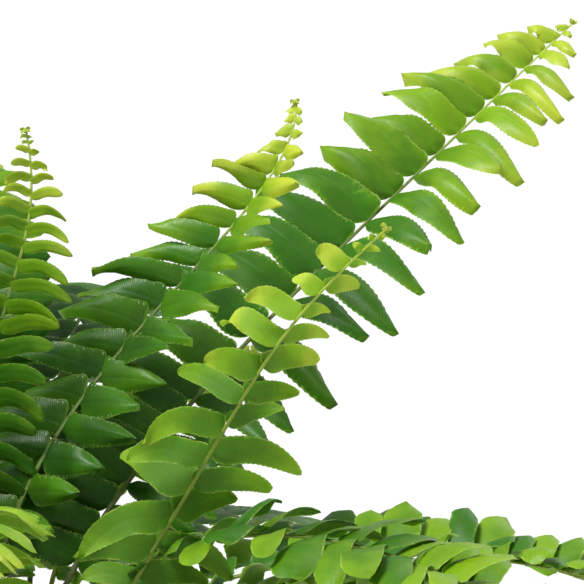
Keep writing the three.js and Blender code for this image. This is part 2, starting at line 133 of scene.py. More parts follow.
@dataclass
class Shell:
    """A closed surface in the making.

    points holds the places, plan the places on the UV map, marks one number for each point under each
    attribute name, and crease says which points lie on a sharp line.
    """

    points: Array
    faces: list[Faces]
    plan: Array
    marks: dict[str, Array]
    crease: Array

    @staticmethod
    def soft(points: Array, faces: list[Faces], plan: Array | None = None, **marks: Array) -> "Shell":
        """A shell without sharp lines.

        Args:
            points: Its places.
            faces: Its faces.
            plan: Its places on the UV map, which are 0 if left out.
            **marks: The marks that aren't 0 all over.

        Returns:
            The shell, with the marks that every shell of a frond has.
        """
        count = len(points)
        full = {name: marks.get(name, np.zeros(count)) for name in ("edge", "age", "tone", "reach")}
        return Shell(points, faces, np.zeros((count, 2)) if plan is None else plan, full, np.zeros(count, bool))

    @staticmethod
    def joined(shells: list["Shell"]) -> "Shell":
        """Several shells as one.

        Args:
            shells: The shells, which all have the same marks.

        Returns:
            One shell that holds them all.
        """
        starts = np.cumsum([0] + [len(s.points) for s in shells[:-1]])
        return Shell(
            np.concatenate([s.points for s in shells]),
            [Faces(f.corners + start, f.part, f.under) for s, start in zip(shells, starts) for f in s.faces],
            np.concatenate([s.plan for s in shells]),
            {k: np.concatenate([s.marks[k] for s in shells]) for k in shells[0].marks},
            np.concatenate([s.crease for s in shells]),
        )

    def make(self, name: str, finishes: list[bpy.types.Material]) -> bpy.types.Object:
        """The shell as a smooth-shaded object at the origin.

        Args:
            name: The object's name.
            finishes: Its materials, in the order of the part numbers.

        Returns:
            The object, linked to the scene.
        """
        mesh = bpy.data.meshes.new(name)
        rows = [len(f.corners) for f in self.faces]
        corners = np.concatenate([f.corners.ravel() for f in self.faces]).astype(np.int32)
        counts = np.repeat([f.corners.shape[1] for f in self.faces], rows)
        starts = np.concatenate([[0], np.cumsum(counts)[:-1]]).astype(np.int32)
        mesh.vertices.add(len(self.points))
        mesh.loops.add(len(corners))
        mesh.polygons.add(len(counts))
        mesh.vertices.foreach_set("co", (self.points * MM).astype(np.float32).ravel())
        mesh.loops.foreach_set("vertex_index", corners)
        mesh.polygons.foreach_set("loop_start", starts)
        parts = np.repeat([f.part for f in self.faces], rows).astype(np.int32)
        mesh.polygons.foreach_set("material_index", parts)
        mesh.polygons.foreach_set("use_smooth", np.ones(len(counts), bool))
        mesh.update(calc_edges=True)
        plan = mesh.uv_layers.new(name="leaflet_plan")
        plan.uv.foreach_set("vector", self.plan[corners].astype(np.float32).ravel())
        ends = np.empty(2 * len(mesh.edges), np.int32)
        mesh.edges.foreach_get("vertices", ends)
        under = np.repeat([f.under for f in self.faces], rows).astype(np.float32)
        layers = [(key, "FLOAT", "POINT", values.astype(np.float32)) for key, values in self.marks.items()]
        layers.append(("under", "FLOAT", "FACE", under))
        layers.append(("sharp_edge", "BOOLEAN", "EDGE", self.crease[ends.reshape(-1, 2)].all(1)))
        for key, kind, domain, values in layers:
            mesh.attributes.new(key, kind, domain).data.foreach_set("value", values)
        for finish in finishes:
            mesh.materials.append(finish)
        piece = bpy.data.objects.new(name, mesh)
        bpy.context.scene.collection.objects.link(piece)
        return piece


def grid_faces(rows: int, columns: int) -> Array:
    """Quads between the rows of a grid whose columns close on themselves.

    Args:
        rows: Number of rows.
        columns: Points in a row.

    Returns:
        Four point numbers for each quad.
    """
    i, j = np.meshgrid(np.arange(rows - 1), np.arange(columns), indexing="ij")
    here, below, after = i * columns, (i + 1) * columns, (j + 1) % columns
    return np.stack([below + j, below + after, here + after, here + j], -1).reshape(-1, 4)


def poled_faces(rows: int, columns: int) -> list[Array]:
    """The quads of such a grid and the fans that close it at two poles, which are numbered after it.

    Args:
        rows: Number of rows.
        columns: Points in a row.

    Returns:
        The quads' point numbers, and those of the two fans.
    """
    first = np.arange(columns)
    after = (first + 1) % columns
    last, pole = (rows - 1) * columns, rows * columns
    fans = ((pole, first, after), (pole + 1, last + after, last + first))
    return [grid_faces(rows, columns), *(np.stack([np.full(columns, p), a, b], -1) for p, a, b in fans)]


def turned_shell(radii: Array, heights: Array, sides: int, lump: Array | None = None) -> Shell:
    """A profile turned round the Z axis, with a pole at each end.

    A point is (r cos a, r sin a, z), where a runs round and (r, z) follows the profile from the middle of
    the top, over the outside, to the middle of the underside.

    Args:
        radii: Distance from the axis along the profile, without the poles.
        heights: Height along the profile, with the first and last for the poles.
        sides: Points round.
        lump: What is added to each height, by profile point and side.

    Returns:
        The closed shell.
    """
    angle = ring_angles(sides)
    ring = np.stack([np.cos(angle), np.sin(angle)], -1)
    rise = heights[1:-1, None] + (0.0 if lump is None else lump)
    flat = radii[:, None, None] * ring[None]
    body = np.concatenate([flat, np.broadcast_to(rise, flat.shape[:2])[..., None]], -1).reshape(-1, 3)
    top = heights[0] if lump is None else rise[0].mean()
    points = np.concatenate([body, [[0.0, 0.0, top], [0.0, 0.0, heights[-1]]]])
    return Shell.soft(points, [Faces(corners) for corners in poled_faces(len(radii), sides)], points[:, :2])


def settle(piece: bpy.types.Object, node: str | None = None) -> None:
    """Gives a piece its place in the frame and reports it.

    Args:
        piece: The piece.
        node: The plain solid that it replaces, if any.
    """
    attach(piece, "root")
    if node is not None:
        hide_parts(node)
    log.info("%s: %d faces", piece.name, len(piece.data.polygons))


# ---------------------------------------------------------------- node trees


class Nodes:
    """A small hand for one node tree: it adds nodes and links what is passed to them."""

    def __init__(self, tree: bpy.types.NodeTree) -> None:
        """Takes the tree to work on."""
        self.tree = tree

    def add(self, kind: str, settings: dict | None = None, **inputs: object) -> bpy.types.Node:
        """Adds a node.

        Args:
            kind: The node's type, without the word ShaderNode.
            settings: Its own properties.
            **inputs: A number, colour or socket for each input, by name or by i and its place, such as i0.

        Returns:
            The node.
        """
        node = self.tree.nodes.new("ShaderNode" + kind)
        for key, value in (settings or {}).items():
            setattr(node, key, value)
        for key, value in inputs.items():
            self.put(value, node.inputs[int(key[1:])] if key[1:].isdigit() else node.inputs[key])
        return node

    def put(self, value: object, socket: Socket) -> None:
        """Links a socket, or sets a number or colour.

        Args:
            value: A number, colour or socket.
            socket: Where it goes.
        """
        if isinstance(value, Socket):
            self.tree.links.new(value, socket)
        else:
            socket.default_value = value

    def fill(self, node: bpy.types.Node, inputs: dict[str, object]) -> bpy.types.NodeOutputs:
        """Puts values into a node's inputs by name, and hands over its outputs.

        Args:
            node: The node.
            inputs: A number, colour or socket for each input's name.

        Returns:
            The node's outputs.
        """
        for key, value in inputs.items():
            self.put(value, node.inputs[key])
        return node.outputs

    def group(self, tree: bpy.types.NodeTree, **inputs: object) -> bpy.types.NodeOutputs:
        """What a node group gives for these inputs.

        Args:
            tree: The group.
            **inputs: A number, colour or socket for each input's name.

        Returns:
            What it gives, by name.
        """
        node = self.tree.nodes.new("ShaderNodeGroup")
        node.node_tree = tree
        return self.fill(node, inputs)

    def math(self, operation: str, *values: object, clamp: bool = False) -> Socket:
        """The result of one Math node."""
        inputs = {f"i{i}": v for i, v in enumerate(values)}
        return self.add("Math", {"operation": operation, "use_clamp": clamp}, **inputs).outputs[0]

    def times(self, a: object, b: object) -> Socket:
        """The product of two values."""
        return self.math("MULTIPLY", a, b)

    def plus(self, a: object, b: object, clamp: bool = False) -> Socket:
        """The sum of two values, kept from 0 to 1 where clamp is set."""
        return self.math("ADD", a, b, clamp=clamp)

    def minus(self, a: object, b: object) -> Socket:
        """The first value less the second."""
        return self.math("SUBTRACT", a, b)

    def gap(self, a: object, b: object) -> Socket:
        """How far two values lie apart."""
        return self.math("ABSOLUTE", self.minus(a, b))

    def step(self, value: object, low: object, high: object, start: float = 0.0, stop: float = 1.0) -> Socket:
        """A smooth step from start to stop while a value goes from low to high."""
        inputs = {f"i{i}": v for i, v in enumerate((value, low, high, start, stop))}
        return self.add("MapRange", {"interpolation_type": "SMOOTHSTEP"}, **inputs).outputs[0]

    def mix(self, factor: object, a: object, b: object) -> Socket:
        """Colour a where factor is 0 and b where it is 1."""
        return self.add("Mix", {"data_type": "RGBA"}, i0=factor, i6=a, i7=b).outputs[2]

    def noise(self, vector: object, scale: object, detail: float) -> Socket:
        """Noise from 0 to 1."""
        return self.add("TexNoise", Vector=vector, Scale=scale, Detail=detail, Roughness=0.6).outputs[0]

    def mark(self, name: str) -> Socket:
        """A number that the mesh carries."""
        return self.add("Attribute", {"attribute_name": name}).outputs["Fac"]

    def place(self) -> Socket:
        """The place on the piece, in metres."""
        return self.add("TexCoord").outputs["Object"]

    def raised(self, height: Socket, depth: float) -> Socket:
        """The normal of a surface with a height of depth metres at 1."""
        return self.add("Bump", Strength=1.0, Distance=depth, Height=height).outputs[0]


class Group:
    """A shader node group in the making: its tree, a hand for it, what it is given, and its end node."""

    def __init__(self, name: str, inputs: dict[str, str], outputs: dict[str, str]) -> None:
        """Makes an empty group.

        Args:
            name: The group's name.
            inputs: Socket type by name, without the word NodeSocket.
            outputs: The same for what it gives.
        """
        self.tree = bpy.data.node_groups.new(name, "ShaderNodeTree")
        for way, sockets in (("INPUT", inputs), ("OUTPUT", outputs)):
            for key, kind in sockets.items():
                self.tree.interface.new_socket(name=key, in_out=way, socket_type="NodeSocket" + kind)
        self.hand = Nodes(self.tree)
        self.given = self.tree.nodes.new("NodeGroupInput").outputs
        self.end = self.tree.nodes.new("NodeGroupOutput")

    def give(self, **values: Socket) -> bpy.types.NodeTree:
        """Links what the group gives, and hands over its tree."""
        self.hand.fill(self.end, values)
        return self.tree


class Effects:
    """The node groups that the finishes share, each built once."""

    def __init__(self) -> None:
        """Builds the groups."""
        self.veins = self._veins()
        self.tone = self._tone()
        self.noises = self._noises()

    def grain(
        self, n: Nodes, place: Socket, coarse: float, fine: float, low: float, high: float
    ) -> tuple[Socket, Socket]:
        """Places the shared grain in a material.

        Args:
            n: The material's hand.
            place: The place on the piece.
            coarse: Patches to the metre.
            fine: Grains to the metre.
            low: Noise below which no patch shows.
            high: Noise above which a patch shows in full.

        Returns:
            The patch mask and the fine height.
        """
        given = n.group(self.noises, Vector=place, Coarse=coarse, Fine=fine, Low=low, High=high)
        return given["Patches"], given["Height"]

    @staticmethod
    def _veins() -> bpy.types.NodeTree:
        """Side veins of a leaflet: stripes of (along - lean * |across|) / spacing, forked near the margin.

        Plan is the leaflet's own plan in millimetres and Edge runs from 0 on the midrib to 1 on the margin.
        Dots are the lime dots inside the margin, on every second stripe and only here and there. Rim is the band
        along the margin where a highlight is painted, and Midrib the band over the midrib where its groove's shade
        is painted.

        Returns:
            The group.
        """
        kinds = {"Plan": "Vector", **dict.fromkeys(("Edge", "Spacing", "Lean"), "Float")}
        group = Group("leaflet_veins", kinds, dict.fromkeys(("Veins", "Height", "Dots", "Rim", "Midrib"), "Float"))
        n, plan, edge = group.hand, group.given["Plan"], group.given["Edge"]
        parts = n.add("SeparateXYZ", Vector=plan).outputs
        away = n.math("ABSOLUTE", parts["Y"])
        wander = n.times(n.minus(n.noise(plan, 0.35, 1.0), 0.5), 0.5)
        leaned = n.minus(parts["X"], n.times(away, group.given["Lean"]))
        phase = n.plus(n.math("DIVIDE", leaned, group.given["Spacing"]), wander)

        def ridge(value: Socket) -> Socket:
            """1 on a stripe's middle line and 0 half way to the next."""
            return n.gap(n.times(n.math("FRACT", value), 2.0), 1.0)

        main, fork = ridge(phase), ridge(n.times(phase, 2.0))
        forked = n.times(n.step(fork, 0.6, 1.0), n.step(edge, 0.3, 0.6))
        swell = n.minus(1.0, n.math("POWER", main, 2.0))
        trough = n.step(away, 1.6, 0.2, 0.0, 1.6)
        sparse = n.step(ridge(n.times(phase, 0.5)), 0.2, 0.08)
        present = n.step(n.noise(plan, 0.5, 0.0), 0.45, 0.55)
        band = n.step(n.gap(edge, 0.86), 0.05, 0.025)
        return group.give(
            Veins=n.math("MAXIMUM", n.step(main, 0.72, 1.0), forked),
            Height=n.minus(n.plus(swell, n.times(fork, -0.25)), trough),
            Dots=n.times(n.times(sparse, present), band),
            Rim=n.step(edge, 0.9, 0.985),
            Midrib=n.step(away, 0.55, 0.12),
        )

    @staticmethod
    def _tone() -> bpy.types.NodeTree:
        """A green by age, from Old to New, made a little lighter or darker by Tone.

        Returns:
            The group.
        """
        greens = dict.fromkeys(("Old", "Mature", "Fresh", "New"), "Color")
        group = Group("green_by_age", {"Age": "Float", "Tone": "Float", **greens}, {"Color": "Color"})
        n, given = group.hand, group.given
        shade = given["Old"]
        for green, low, high in (("Mature", 0.0, 0.35), ("Fresh", 0.35, 0.7), ("New", 0.7, 1.0)):
            shade = n.mix(n.step(given["Age"], low, high), shade, given[green])
        value = n.plus(n.times(given["Tone"], 0.1), 1.0)
        hue = n.plus(n.times(given["Tone"], -0.008), 0.5)
        toned = n.add("HueSaturation", Hue=hue, Saturation=1.0, Value=value, Color=shade)
        return group.give(Color=toned.outputs[0])

    @staticmethod
    def _noises() -> bpy.types.NodeTree:
        """Two sizes of noise: a patch mask from Low to High and a fine height.

        Returns:
            The group.
        """
        kinds = {"Vector": "Vector", **dict.fromkeys(("Coarse", "Fine", "Low", "High"), "Float")}
        group = Group("grain", kinds, {"Patches": "Float", "Height": "Float"})
        n, given = group.hand, group.given
        coarse = n.noise(given["Vector"], given["Coarse"], 4.0)
        fine = n.noise(given["Vector"], given["Fine"], 2.0)
        return group.give(Patches=n.step(coarse, given["Low"], given["High"]), Height=fine)


# ---------------------------------------------------------------- finishes

Colour = tuple[float, float, float, float]


def srgb(red: int, green: int, blue: int) -> Colour:
    """A colour from its 0 to 255 display values, as the linear one that a shader takes.

    Args:
        red: Red, from 0 to 255.
        green: Green, from 0 to 255.
        blue: Blue, from 0 to 255.

    Returns:
        Linear red, green and blue, and an alpha of one.
    """
    shares = np.array([red, green, blue]) / 255.0
    linear = np.where(shares <= 0.04045, shares / 12.92, ((shares + 0.055) / 1.055) ** 2.4)
    return (*map(float, linear), 1.0)


@dataclass(frozen=True)
class Finish(ABC):
    """A material. roughness is its middle value and specular its plain shine."""

    name: str
    roughness: float = 0.5
    specular: float = 0.5

    def build(self, effects: Effects) -> bpy.types.Material:
        """The finish as a Blender material, made with the shared node groups.

        Args:
            effects: The shared node groups.

        Returns:
            The material.
        """
        material = bpy.data.materials.new(self.name)
        material.use_nodes = True
        n = Nodes(material.node_tree)
        plain = {"Roughness": self.roughness, "Specular IOR Level": self.specular}
        n.fill(material.node_tree.nodes["Principled BSDF"], plain | self.dress(n, effects))
        return material

    @abstractmethod
    def dress(self, n: Nodes, effects: Effects) -> dict[str, object]:
        """Adds the finish's own nodes and gives the shader's inputs by name.

        Args:
            n: The material's hand.
            effects: The shared node groups.

        Returns:
            The shader's inputs by name.
        """

    def rough(self, n: Nodes, height: Socket, less: float, more: float) -> Socket:
        """A roughness that goes from less below the middle value to more above it with a fine height."""
        return n.step(height, 0.3, 0.7, self.roughness - less, self.roughness + more)


@dataclass(frozen=True)
class LeafFinish(Finish):
    """Living leaf: a green by age, veins, a painted highlight along the margin, painted shade over the midrib and
    lime dots on old leaflets.

    lime, glow and rim are the strengths of the dots, of the light inside the leaf and of the painted highlight
    along the margin; vein_pale, midrib_painted_shade and under_pale those of the veins, of the painted shade in
    the midrib's groove and of the underside. vein_spacing is in millimetres, relief and glow_depth in metres.
    """

    old: Colour = srgb(28, 66, 5)
    mature: Colour = srgb(58, 112, 8)
    fresh: Colour = srgb(114, 156, 16)
    new: Colour = srgb(172, 190, 52)
    lime: float = 0.5
    glow: float = 0.25
    # rim: how strongly a highlight is painted along the margin, in the colour margin.
    rim: float = 0.45
    underside: Colour = srgb(112, 150, 24)
    # margin: the colour of the highlight painted along the leaflet's edge.
    margin: Colour = srgb(190, 212, 96)
    dot: Colour = srgb(214, 224, 196)
    vein_spacing: float = 1.25
    vein_lean: float = 0.6
    vein_pale: float = 0.08
    midrib_painted_shade: float = 0.45
    under_pale: float = 0.25
    relief: float = 0.00005
    glow_depth: float = 0.0016
    glow_colour: tuple[float, float, float] = (0.35, 1.0, 0.12)

    def dress(self, n: Nodes, effects: Effects) -> dict[str, object]:
        """Colour by age and veins, with a painted highlight along the margin and painted shade over the midrib;
        roughness and bump from the veins and a fine grain.

        Args:
            n: The material's hand.
            effects: The shared node groups.

        Returns:
            The shader's inputs by name.
        """
        plan, place = n.add("UVMap", {"uv_map": "leaflet_plan"}).outputs[0], n.place()
        edge, age, under = n.mark("edge"), n.mark("age"), n.mark("under")
        stripes = {"Spacing": self.vein_spacing, "Lean": self.vein_lean}
        veins = n.group(effects.veins, Plan=plan, Edge=edge, **stripes)
        patches, height = effects.grain(n, place, 60.0, 900.0, 0.4, 0.7)
        patched = n.plus(age, n.times(n.minus(patches, 0.5), 0.1))
        full = n.plus(patched, n.times(edge, 0.06), clamp=True)
        greens = {"Old": self.old, "Mature": self.mature, "Fresh": self.fresh, "New": self.new}
        shade = n.group(effects.tone, Age=full, Tone=n.mark("tone"), **greens)[0]
        older = n.step(age, 0.5, 0.1)
        shade = n.mix(n.times(veins["Veins"], self.vein_pale), shade, self.fresh)
        # Painted shade: the midrib's groove darkened on older leaflets.
        shade = n.mix(n.times(n.times(veins["Midrib"], older), self.midrib_painted_shade), shade, self.old)
        shade = n.mix(n.times(under, self.under_pale), shade, self.underside)
        # A painted highlight: the margin band lightened in patches, where light would catch the edge.
        margin_highlight = n.times(n.step(n.noise(place, 260.0, 2.0), 0.38, 0.62), self.rim)
        shade = n.mix(n.times(veins["Rim"], margin_highlight), shade, self.margin)
        limed = n.times(n.times(veins["Dots"], older), n.times(n.minus(1.0, under), self.lime))
        return {
            "Base Color": n.mix(limed, shade, self.dot),
            "Roughness": n.plus(self.rough(n, height, 0.06, 0.08), n.times(under, 0.12)),
            "Normal": n.raised(n.plus(veins["Height"], n.times(height, 0.5)), self.relief),
            "Subsurface Weight": self.glow,
            "Subsurface Radius": self.glow_colour,
            "Subsurface Scale": self.glow_depth,
        }


@dataclass(frozen=True)
class RibFinish(Finish):
    """The rib: green that browns toward the foot, with darker flecks along it."""

    foot: Colour = srgb(84, 62, 34)
    old: Colour = srgb(86, 112, 34)
    new: Colour = srgb(166, 190, 66)
    fleck: Colour = srgb(104, 86, 52)
    relief: float = 0.00012

    def dress(self, n: Nodes, effects: Effects) -> dict[str, object]:
        """Colour from the age and the reach along the rib, flecked by the grain.

        Args:
            n: The material's hand.
            effects: The shared node groups.

        Returns:
            The shader's inputs by name.
        """
        patches, height = effects.grain(n, n.place(), 700.0, 2600.0, 0.5, 0.72)
        shade = n.mix(n.step(n.mark("age"), 0.2, 0.8), self.old, self.new)
        shade = n.mix(n.step(n.mark("reach"), 0.16, 0.02), shade, self.foot)
        flecks = n.times(patches, n.step(n.mark("age"), 0.85, 0.1, 0.0, 0.45))
        return {
            "Base Color": n.mix(flecks, shade, self.fleck),
            "Roughness": self.rough(n, height, 0.1, 0.1),
            "Normal": n.raised(height, self.relief),
        }


@dataclass(frozen=True)
class ChaffFinish(Finish):
    """The papery scales on the rib and the crown."""

    pale: Colour = srgb(150, 140, 104)
    brown: Colour = srgb(98, 66, 38)

    def dress(self, n: Nodes, effects: Effects) -> dict[str, object]:
        """Brown at the foot of a frond and pale along it, streaked.

        Args:
            n: The material's hand.
            effects: The shared node groups.

        Returns:
            The shader's inputs by name.
        """
        patches, height = effects.grain(n, n.place(), 1500.0, 3000.0, 0.35, 0.7)
        paling = n.plus(n.step(n.mark("reach"), 0.05, 0.35), n.times(patches, -0.35), clamp=True)
        return {
            "Base Color": n.mix(paling, self.brown, self.pale),
            "Roughness": self.rough(n, height, 0.1, 0.15),
        }


@dataclass(frozen=True)
class ClayFinish(Finish):
    """Unglazed clay: uneven colour, turning lines, grit, and a bloom of white salts.

    salt_line is the height just under the band that the upper bloom gathers round, and relief the depth of
    the grit, in metres. low_salts and line_salts are the strengths of the bloom at the foot and on that line.
    """

    body: Colour = srgb(196, 112, 74)
    deep: Colour = srgb(160, 82, 52)
    bloom: Colour = srgb(222, 196, 172)
    grit: Colour = srgb(120, 64, 44)
    salt_line: float = 0.094
    low_salts: float = 0.7
    line_salts: float = 0.5
    relief: float = 0.0003

    def dress(self, n: Nodes, effects: Effects) -> dict[str, object]:
        """Patches of two reds, salts low on the wall and under the band, and lines that run round.

        Args:
            n: The material's hand.
            effects: The shared node groups.

        Returns:
            The shader's inputs by name.
        """
        place = n.place()
        patches, height = effects.grain(n, place, 22.0, 1400.0, 0.35, 0.7)
        specks, _ = effects.grain(n, place, 380.0, 900.0, 0.58, 0.72)
        up = n.add("SeparateXYZ", Vector=place).outputs["Z"]
        shade = n.mix(patches, self.body, self.deep)
        shade = n.mix(n.times(specks, 0.35), shade, self.grit)
        low = n.times(n.step(up, 0.05, 0.004), self.low_salts)
        line = n.times(n.step(n.gap(up, self.salt_line), 0.012, 0.002), self.line_salts)
        salts = n.times(n.math("MAXIMUM", low, line), n.step(n.noise(place, 70.0, 5.0), 0.42, 0.66))
        lines = n.add("TexWave", {"bands_direction": "Z"}, Vector=place, Scale=130.0, Distortion=1.5, Detail=2.0)
        return {
            "Base Color": n.mix(salts, shade, self.bloom),
            "Roughness": self.rough(n, height, 0.08, 0.06),
            "Normal": n.raised(n.plus(n.times(lines.outputs[1], 0.35), height), self.relief),
        }


@dataclass(frozen=True)
class EarthFinish(Finish):
    """Something loose in the pot: mix, bark, perlite or moss, by its colours and grain.

    coarse and fine are patches and grains to the metre, and relief is the grains' depth in metres.
    """

    base: Colour = srgb(58, 42, 30)
    other: Colour = srgb(30, 22, 16)
    coarse: float = 160.0
    fine: float = 1100.0
    relief: float = 0.0008

    def dress(self, n: Nodes, effects: Effects) -> dict[str, object]:
        """Two colours in patches, with a grain in colour, roughness and height.

        Args:
            n: The material's hand.
            effects: The shared node groups.

        Returns:
            The shader's inputs by name.
        """
        patches, height = effects.grain(n, n.place(), self.coarse, self.fine, 0.35, 0.68)
        crumbs = n.times(n.step(height, 0.5, 0.75), 0.35)
        return {
            "Base Color": n.mix(crumbs, n.mix(patches, self.base, self.other), self.base),
            "Roughness": self.rough(n, height, 0.1, 0.05),
            "Normal": n.raised(height, self.relief),
        }


@dataclass(frozen=True)
class FloorFinish(Finish):
    """The pale floor."""

    shade: Colour = (0.74, 0.74, 0.74, 1.0)

    def dress(self, n: Nodes, effects: Effects) -> dict[str, object]:
        """One plain colour."""
        return {"Base Color": self.shade}


# ---------------------------------------------------------------- leaflets


@dataclass
class Leaflets:
    """Where a frond's leaflets stand, one row of each array for each leaflet.

    root is the place on the rib; out, slat and normal are the directions of the midrib, of the width toward
    the frond's tip, and of the upper face. hand is +1 or -1 by the side of the rib. droop and curl are the
    sag and the backward curl of the tip as shares of the length, turn is the twist in radians, sickle the
    bend toward the frond's tip, skyward how far the tip rolls level, and pear how much wider the base is than
    the tip. wave and camber are the ripple and the arch as shares of the width. age sets the green, ripening
    how much lighter the tip is, and tone how light and how yellow the leaflet is among its neighbours.
    """

    root: Array
    out: Array
    slat: Array
    normal: Array
    length: Array
    width: Array
    hand: Array
    droop: Array
    curl: Array
    turn: Array
    sickle: Array
    skyward: Array
    pear: Array
    wave: Array
    camber: Array
    age: Array
    ripening: Array
    tone: Array


@dataclass(frozen=True)
class LeafletForm:
    """The form of one leaflet, on a grid of stations along it by six lines across it.

    steps is the number of stations, which bunching sets closer at both ends, and teeth the margin points for
    each. A leaflet has 6 * steps faces. far is its half toward the frond's tip, and near the other. A half
    widens over the share flare of the length and rounds off over the share round, more squarely with a higher
    tip_power. auricle is the size of the ear beside the rib. The depths are in millimetres: of the teeth, of
    half the leaf, of the groove over the midrib and of the keel under it.
    """

    steps: int = 10
    teeth: int = 4
    bunching: float = 0.62
    far_flare: float = 0.07
    near_flare: float = 0.22
    far_round: float = 0.44
    near_round: float = 0.24
    tip_power: float = 2.1
    auricle: float = 0.1
    tooth_depth: float = 0.34
    half_thickness: float = 0.16
    groove: float = 0.5
    keel: float = 0.45

    toothed_width = 9.0
    full_thickness_length = 14.0

    def _spaced(self, p: Array) -> Array:
        """Share of the length at share p of the margin: p mixed with (1 - cos pi p) / 2."""
        return (1.0 - self.bunching) * p + self.bunching * (0.5 - 0.5 * np.cos(np.pi * p))

    def _template(self) -> tuple[Array, Array, Array, Array, list[Faces]]:
        """One leaflet's points and faces, before it is bent.

        Returns:
            Share along, share across, height and tooth of each point, and the faces.
        """
        j, m = self.steps, self.teeth
        inner = self._spaced(np.arange(1, j) / j)
        rim = self._spaced(np.arange(1, j * m) / (j * m))
        top = self.half_thickness
        sides, heights = (-0.5, 0.0, 0.5, 0.0), (top, top - self.groove, top, -top - self.keel)
        along = np.concatenate([[0.0, 1.0]] + [inner] * 4 + [rim] * 2)
        across = np.concatenate([[0.0, 0.0], np.repeat(sides, j - 1), np.repeat((-1.0, 1.0), j * m - 1)])
        height = np.concatenate([[0.0, 0.0], np.repeat(heights, j - 1), np.zeros(2 * (j * m - 1))])
        notch = (np.arange(1, j * m) % 2) * smooth(0.03, 0.14, rim) * (1.0 - 0.4 * smooth(0.8, 1.0, rim))
        tooth = np.concatenate([np.zeros(2 + 4 * (j - 1)), notch, notch])

        def line(start: int, count: int) -> Array:
            """Point numbers along one line of the leaflet, with the root and the tip."""
            return np.concatenate([[0], start + np.arange(count), [1]])

        def strip(a: Array, b: Array) -> list[Faces]:
            """Upper faces between two inner lines."""
            middle = np.stack([a[1:-2], a[2:-1], b[2:-1], b[1:-2]], -1)
            return [Faces(middle), Faces(np.array([[0, a[1], b[1]], [a[-2], 1, b[-2]]]))]

        def skirt(margin: Array, b: Array, way: int, under: float) -> list[Faces]:
            """Faces between a margin and an inner line, with teeth + 1 margin points in each.

            Args:
                margin: The margin's point numbers.
                b: The inner line's point numbers.
                way: 1, or -1 to turn the faces over.
                under: 1 on the lower side, or 0.

            Returns:
                The faces.
            """
            windows = margin[np.arange(j)[:, None] * m + np.arange(m + 1)[None]]
            middle = np.concatenate([windows[1:-1], b[2:-1, None], b[1:-2, None]], 1)
            ends = np.stack([[*windows[0], b[1]], [*windows[-1], b[-2]]])
            return [Faces(middle[:, ::way], under=under), Faces(ends[:, ::way], under=under)]

        low, mid, high, keel = (line(2 + k * (j - 1), j - 1) for k in range(4))
        left, right = (line(2 + 4 * (j - 1) + k * (j * m - 1), j * m - 1) for k in range(2))
        faces = strip(low, mid) + strip(mid, high)
        faces += skirt(left, low, 1, 0.0) + skirt(right, high, -1, 0.0)
        faces += skirt(left, keel, -1, 1.0) + skirt(right, keel, 1, 1.0)
        return along, across, height, tooth, faces

    def _halves(self, t: Array) -> tuple[Array, Array]:
        """Half widths toward and away from the frond's tip, as shares of the width, at share t.

        Each is a quick superelliptic flare at the base, a slow taper, and a superelliptic tip. The far half
        has a small ear beside the rib.

        Args:
            t: Shares of the length.

        Returns:
            The far and the near half's widths.
        """
        far = quarter(t / self.far_flare, 2.4) * quarter((1.0 - t) / self.far_round, self.tip_power)
        far = far * (0.92 + 0.08 * t + self.auricle * np.exp(-(((t - 0.09) / 0.06) ** 2)))
        near = quarter(t / self.near_flare, 1.9) * quarter((1.0 - t) / self.near_round, self.tip_power)
        return far, near * (0.96 + 0.04 * t)

    def shell(self, leaves: Leaflets) -> Shell:
        """All leaflets of a frond.

        The midrib is root + out L t - Z droop L t^2 + slat sickle L t^2 - normal curl L t^4. A point stands
        off it by its half width along the turned slat, and by its thickness and ripple less
        camber * (0.5 + t) * width * across^2 along the normal.

        Args:
            leaves: The leaflets' places and sizes.

        Returns:
            Their closed shells as one.
        """
        along, across, height, tooth, faces = self._template()
        count, size = len(leaves.length), len(along)
        t, whole = along[None, :, None], (count, size)
        length, droop, curl, sickle, skyward, turn, side = (
            values[:, None, None]
            for values in (
                leaves.length, leaves.droop, leaves.curl, leaves.sickle, leaves.skyward, leaves.turn, -leaves.hand
            )
        )
        width, hand, tone = leaves.width[:, None], leaves.hand[:, None], leaves.tone[:, None]
        out, face = leaves.out[:, None], leaves.normal[:, None]
        bend = leaves.slat[:, None] * sickle - UP * droop
        spine = leaves.root[:, None] + length * (out * t + bend * t**2 - face * curl * t**4)
        tangent = unit(out + bend * 2.0 * t - face * 4.0 * curl * t**3)
        side = side * leaves.slat[:, None]
        lateral = unit(side - dot(side, tangent) * tangent)
        level = unit(np.cross(UP, tangent))
        level = level * np.sign(dot(level[:, :1], lateral[:, :1]))
        rolled = skyward * t**2.2
        lateral = unit(lateral * (1.0 - rolled) + level * rolled)
        top = np.cross(tangent, lateral)
        turn = turn * t**2
        lateral, top = lateral * np.cos(turn) + top * np.sin(turn), top * np.cos(turn) - lateral * np.sin(turn)
        far, near = self._halves(along)
        half = np.where(across[None] * hand < 0.0, far[None], near[None]) * width / 2.0
        half = half * (1.0 + leaves.pear[:, None] * (0.5 - along[None]))
        depth = self.tooth_depth * np.minimum(1.0, width / self.toothed_width)
        aside = across[None] * half - np.sign(across)[None] * tooth[None] * depth
        thin = np.minimum(1.0, leaves.length / self.full_thickness_length)[:, None]
        ripple = leaves.wave[:, None] * np.sin(9.0 * along[None] + 7.0 * tone + across[None])
        arch = leaves.camber[:, None] * (0.5 + along[None])
        lifted = height[None] * thin + (ripple - arch) * width * across[None] ** 2
        points = spine + lateral * aside[..., None] + top * lifted[..., None]
        plan = np.stack([along[None] * leaves.length[:, None], -hand * aside], -1)
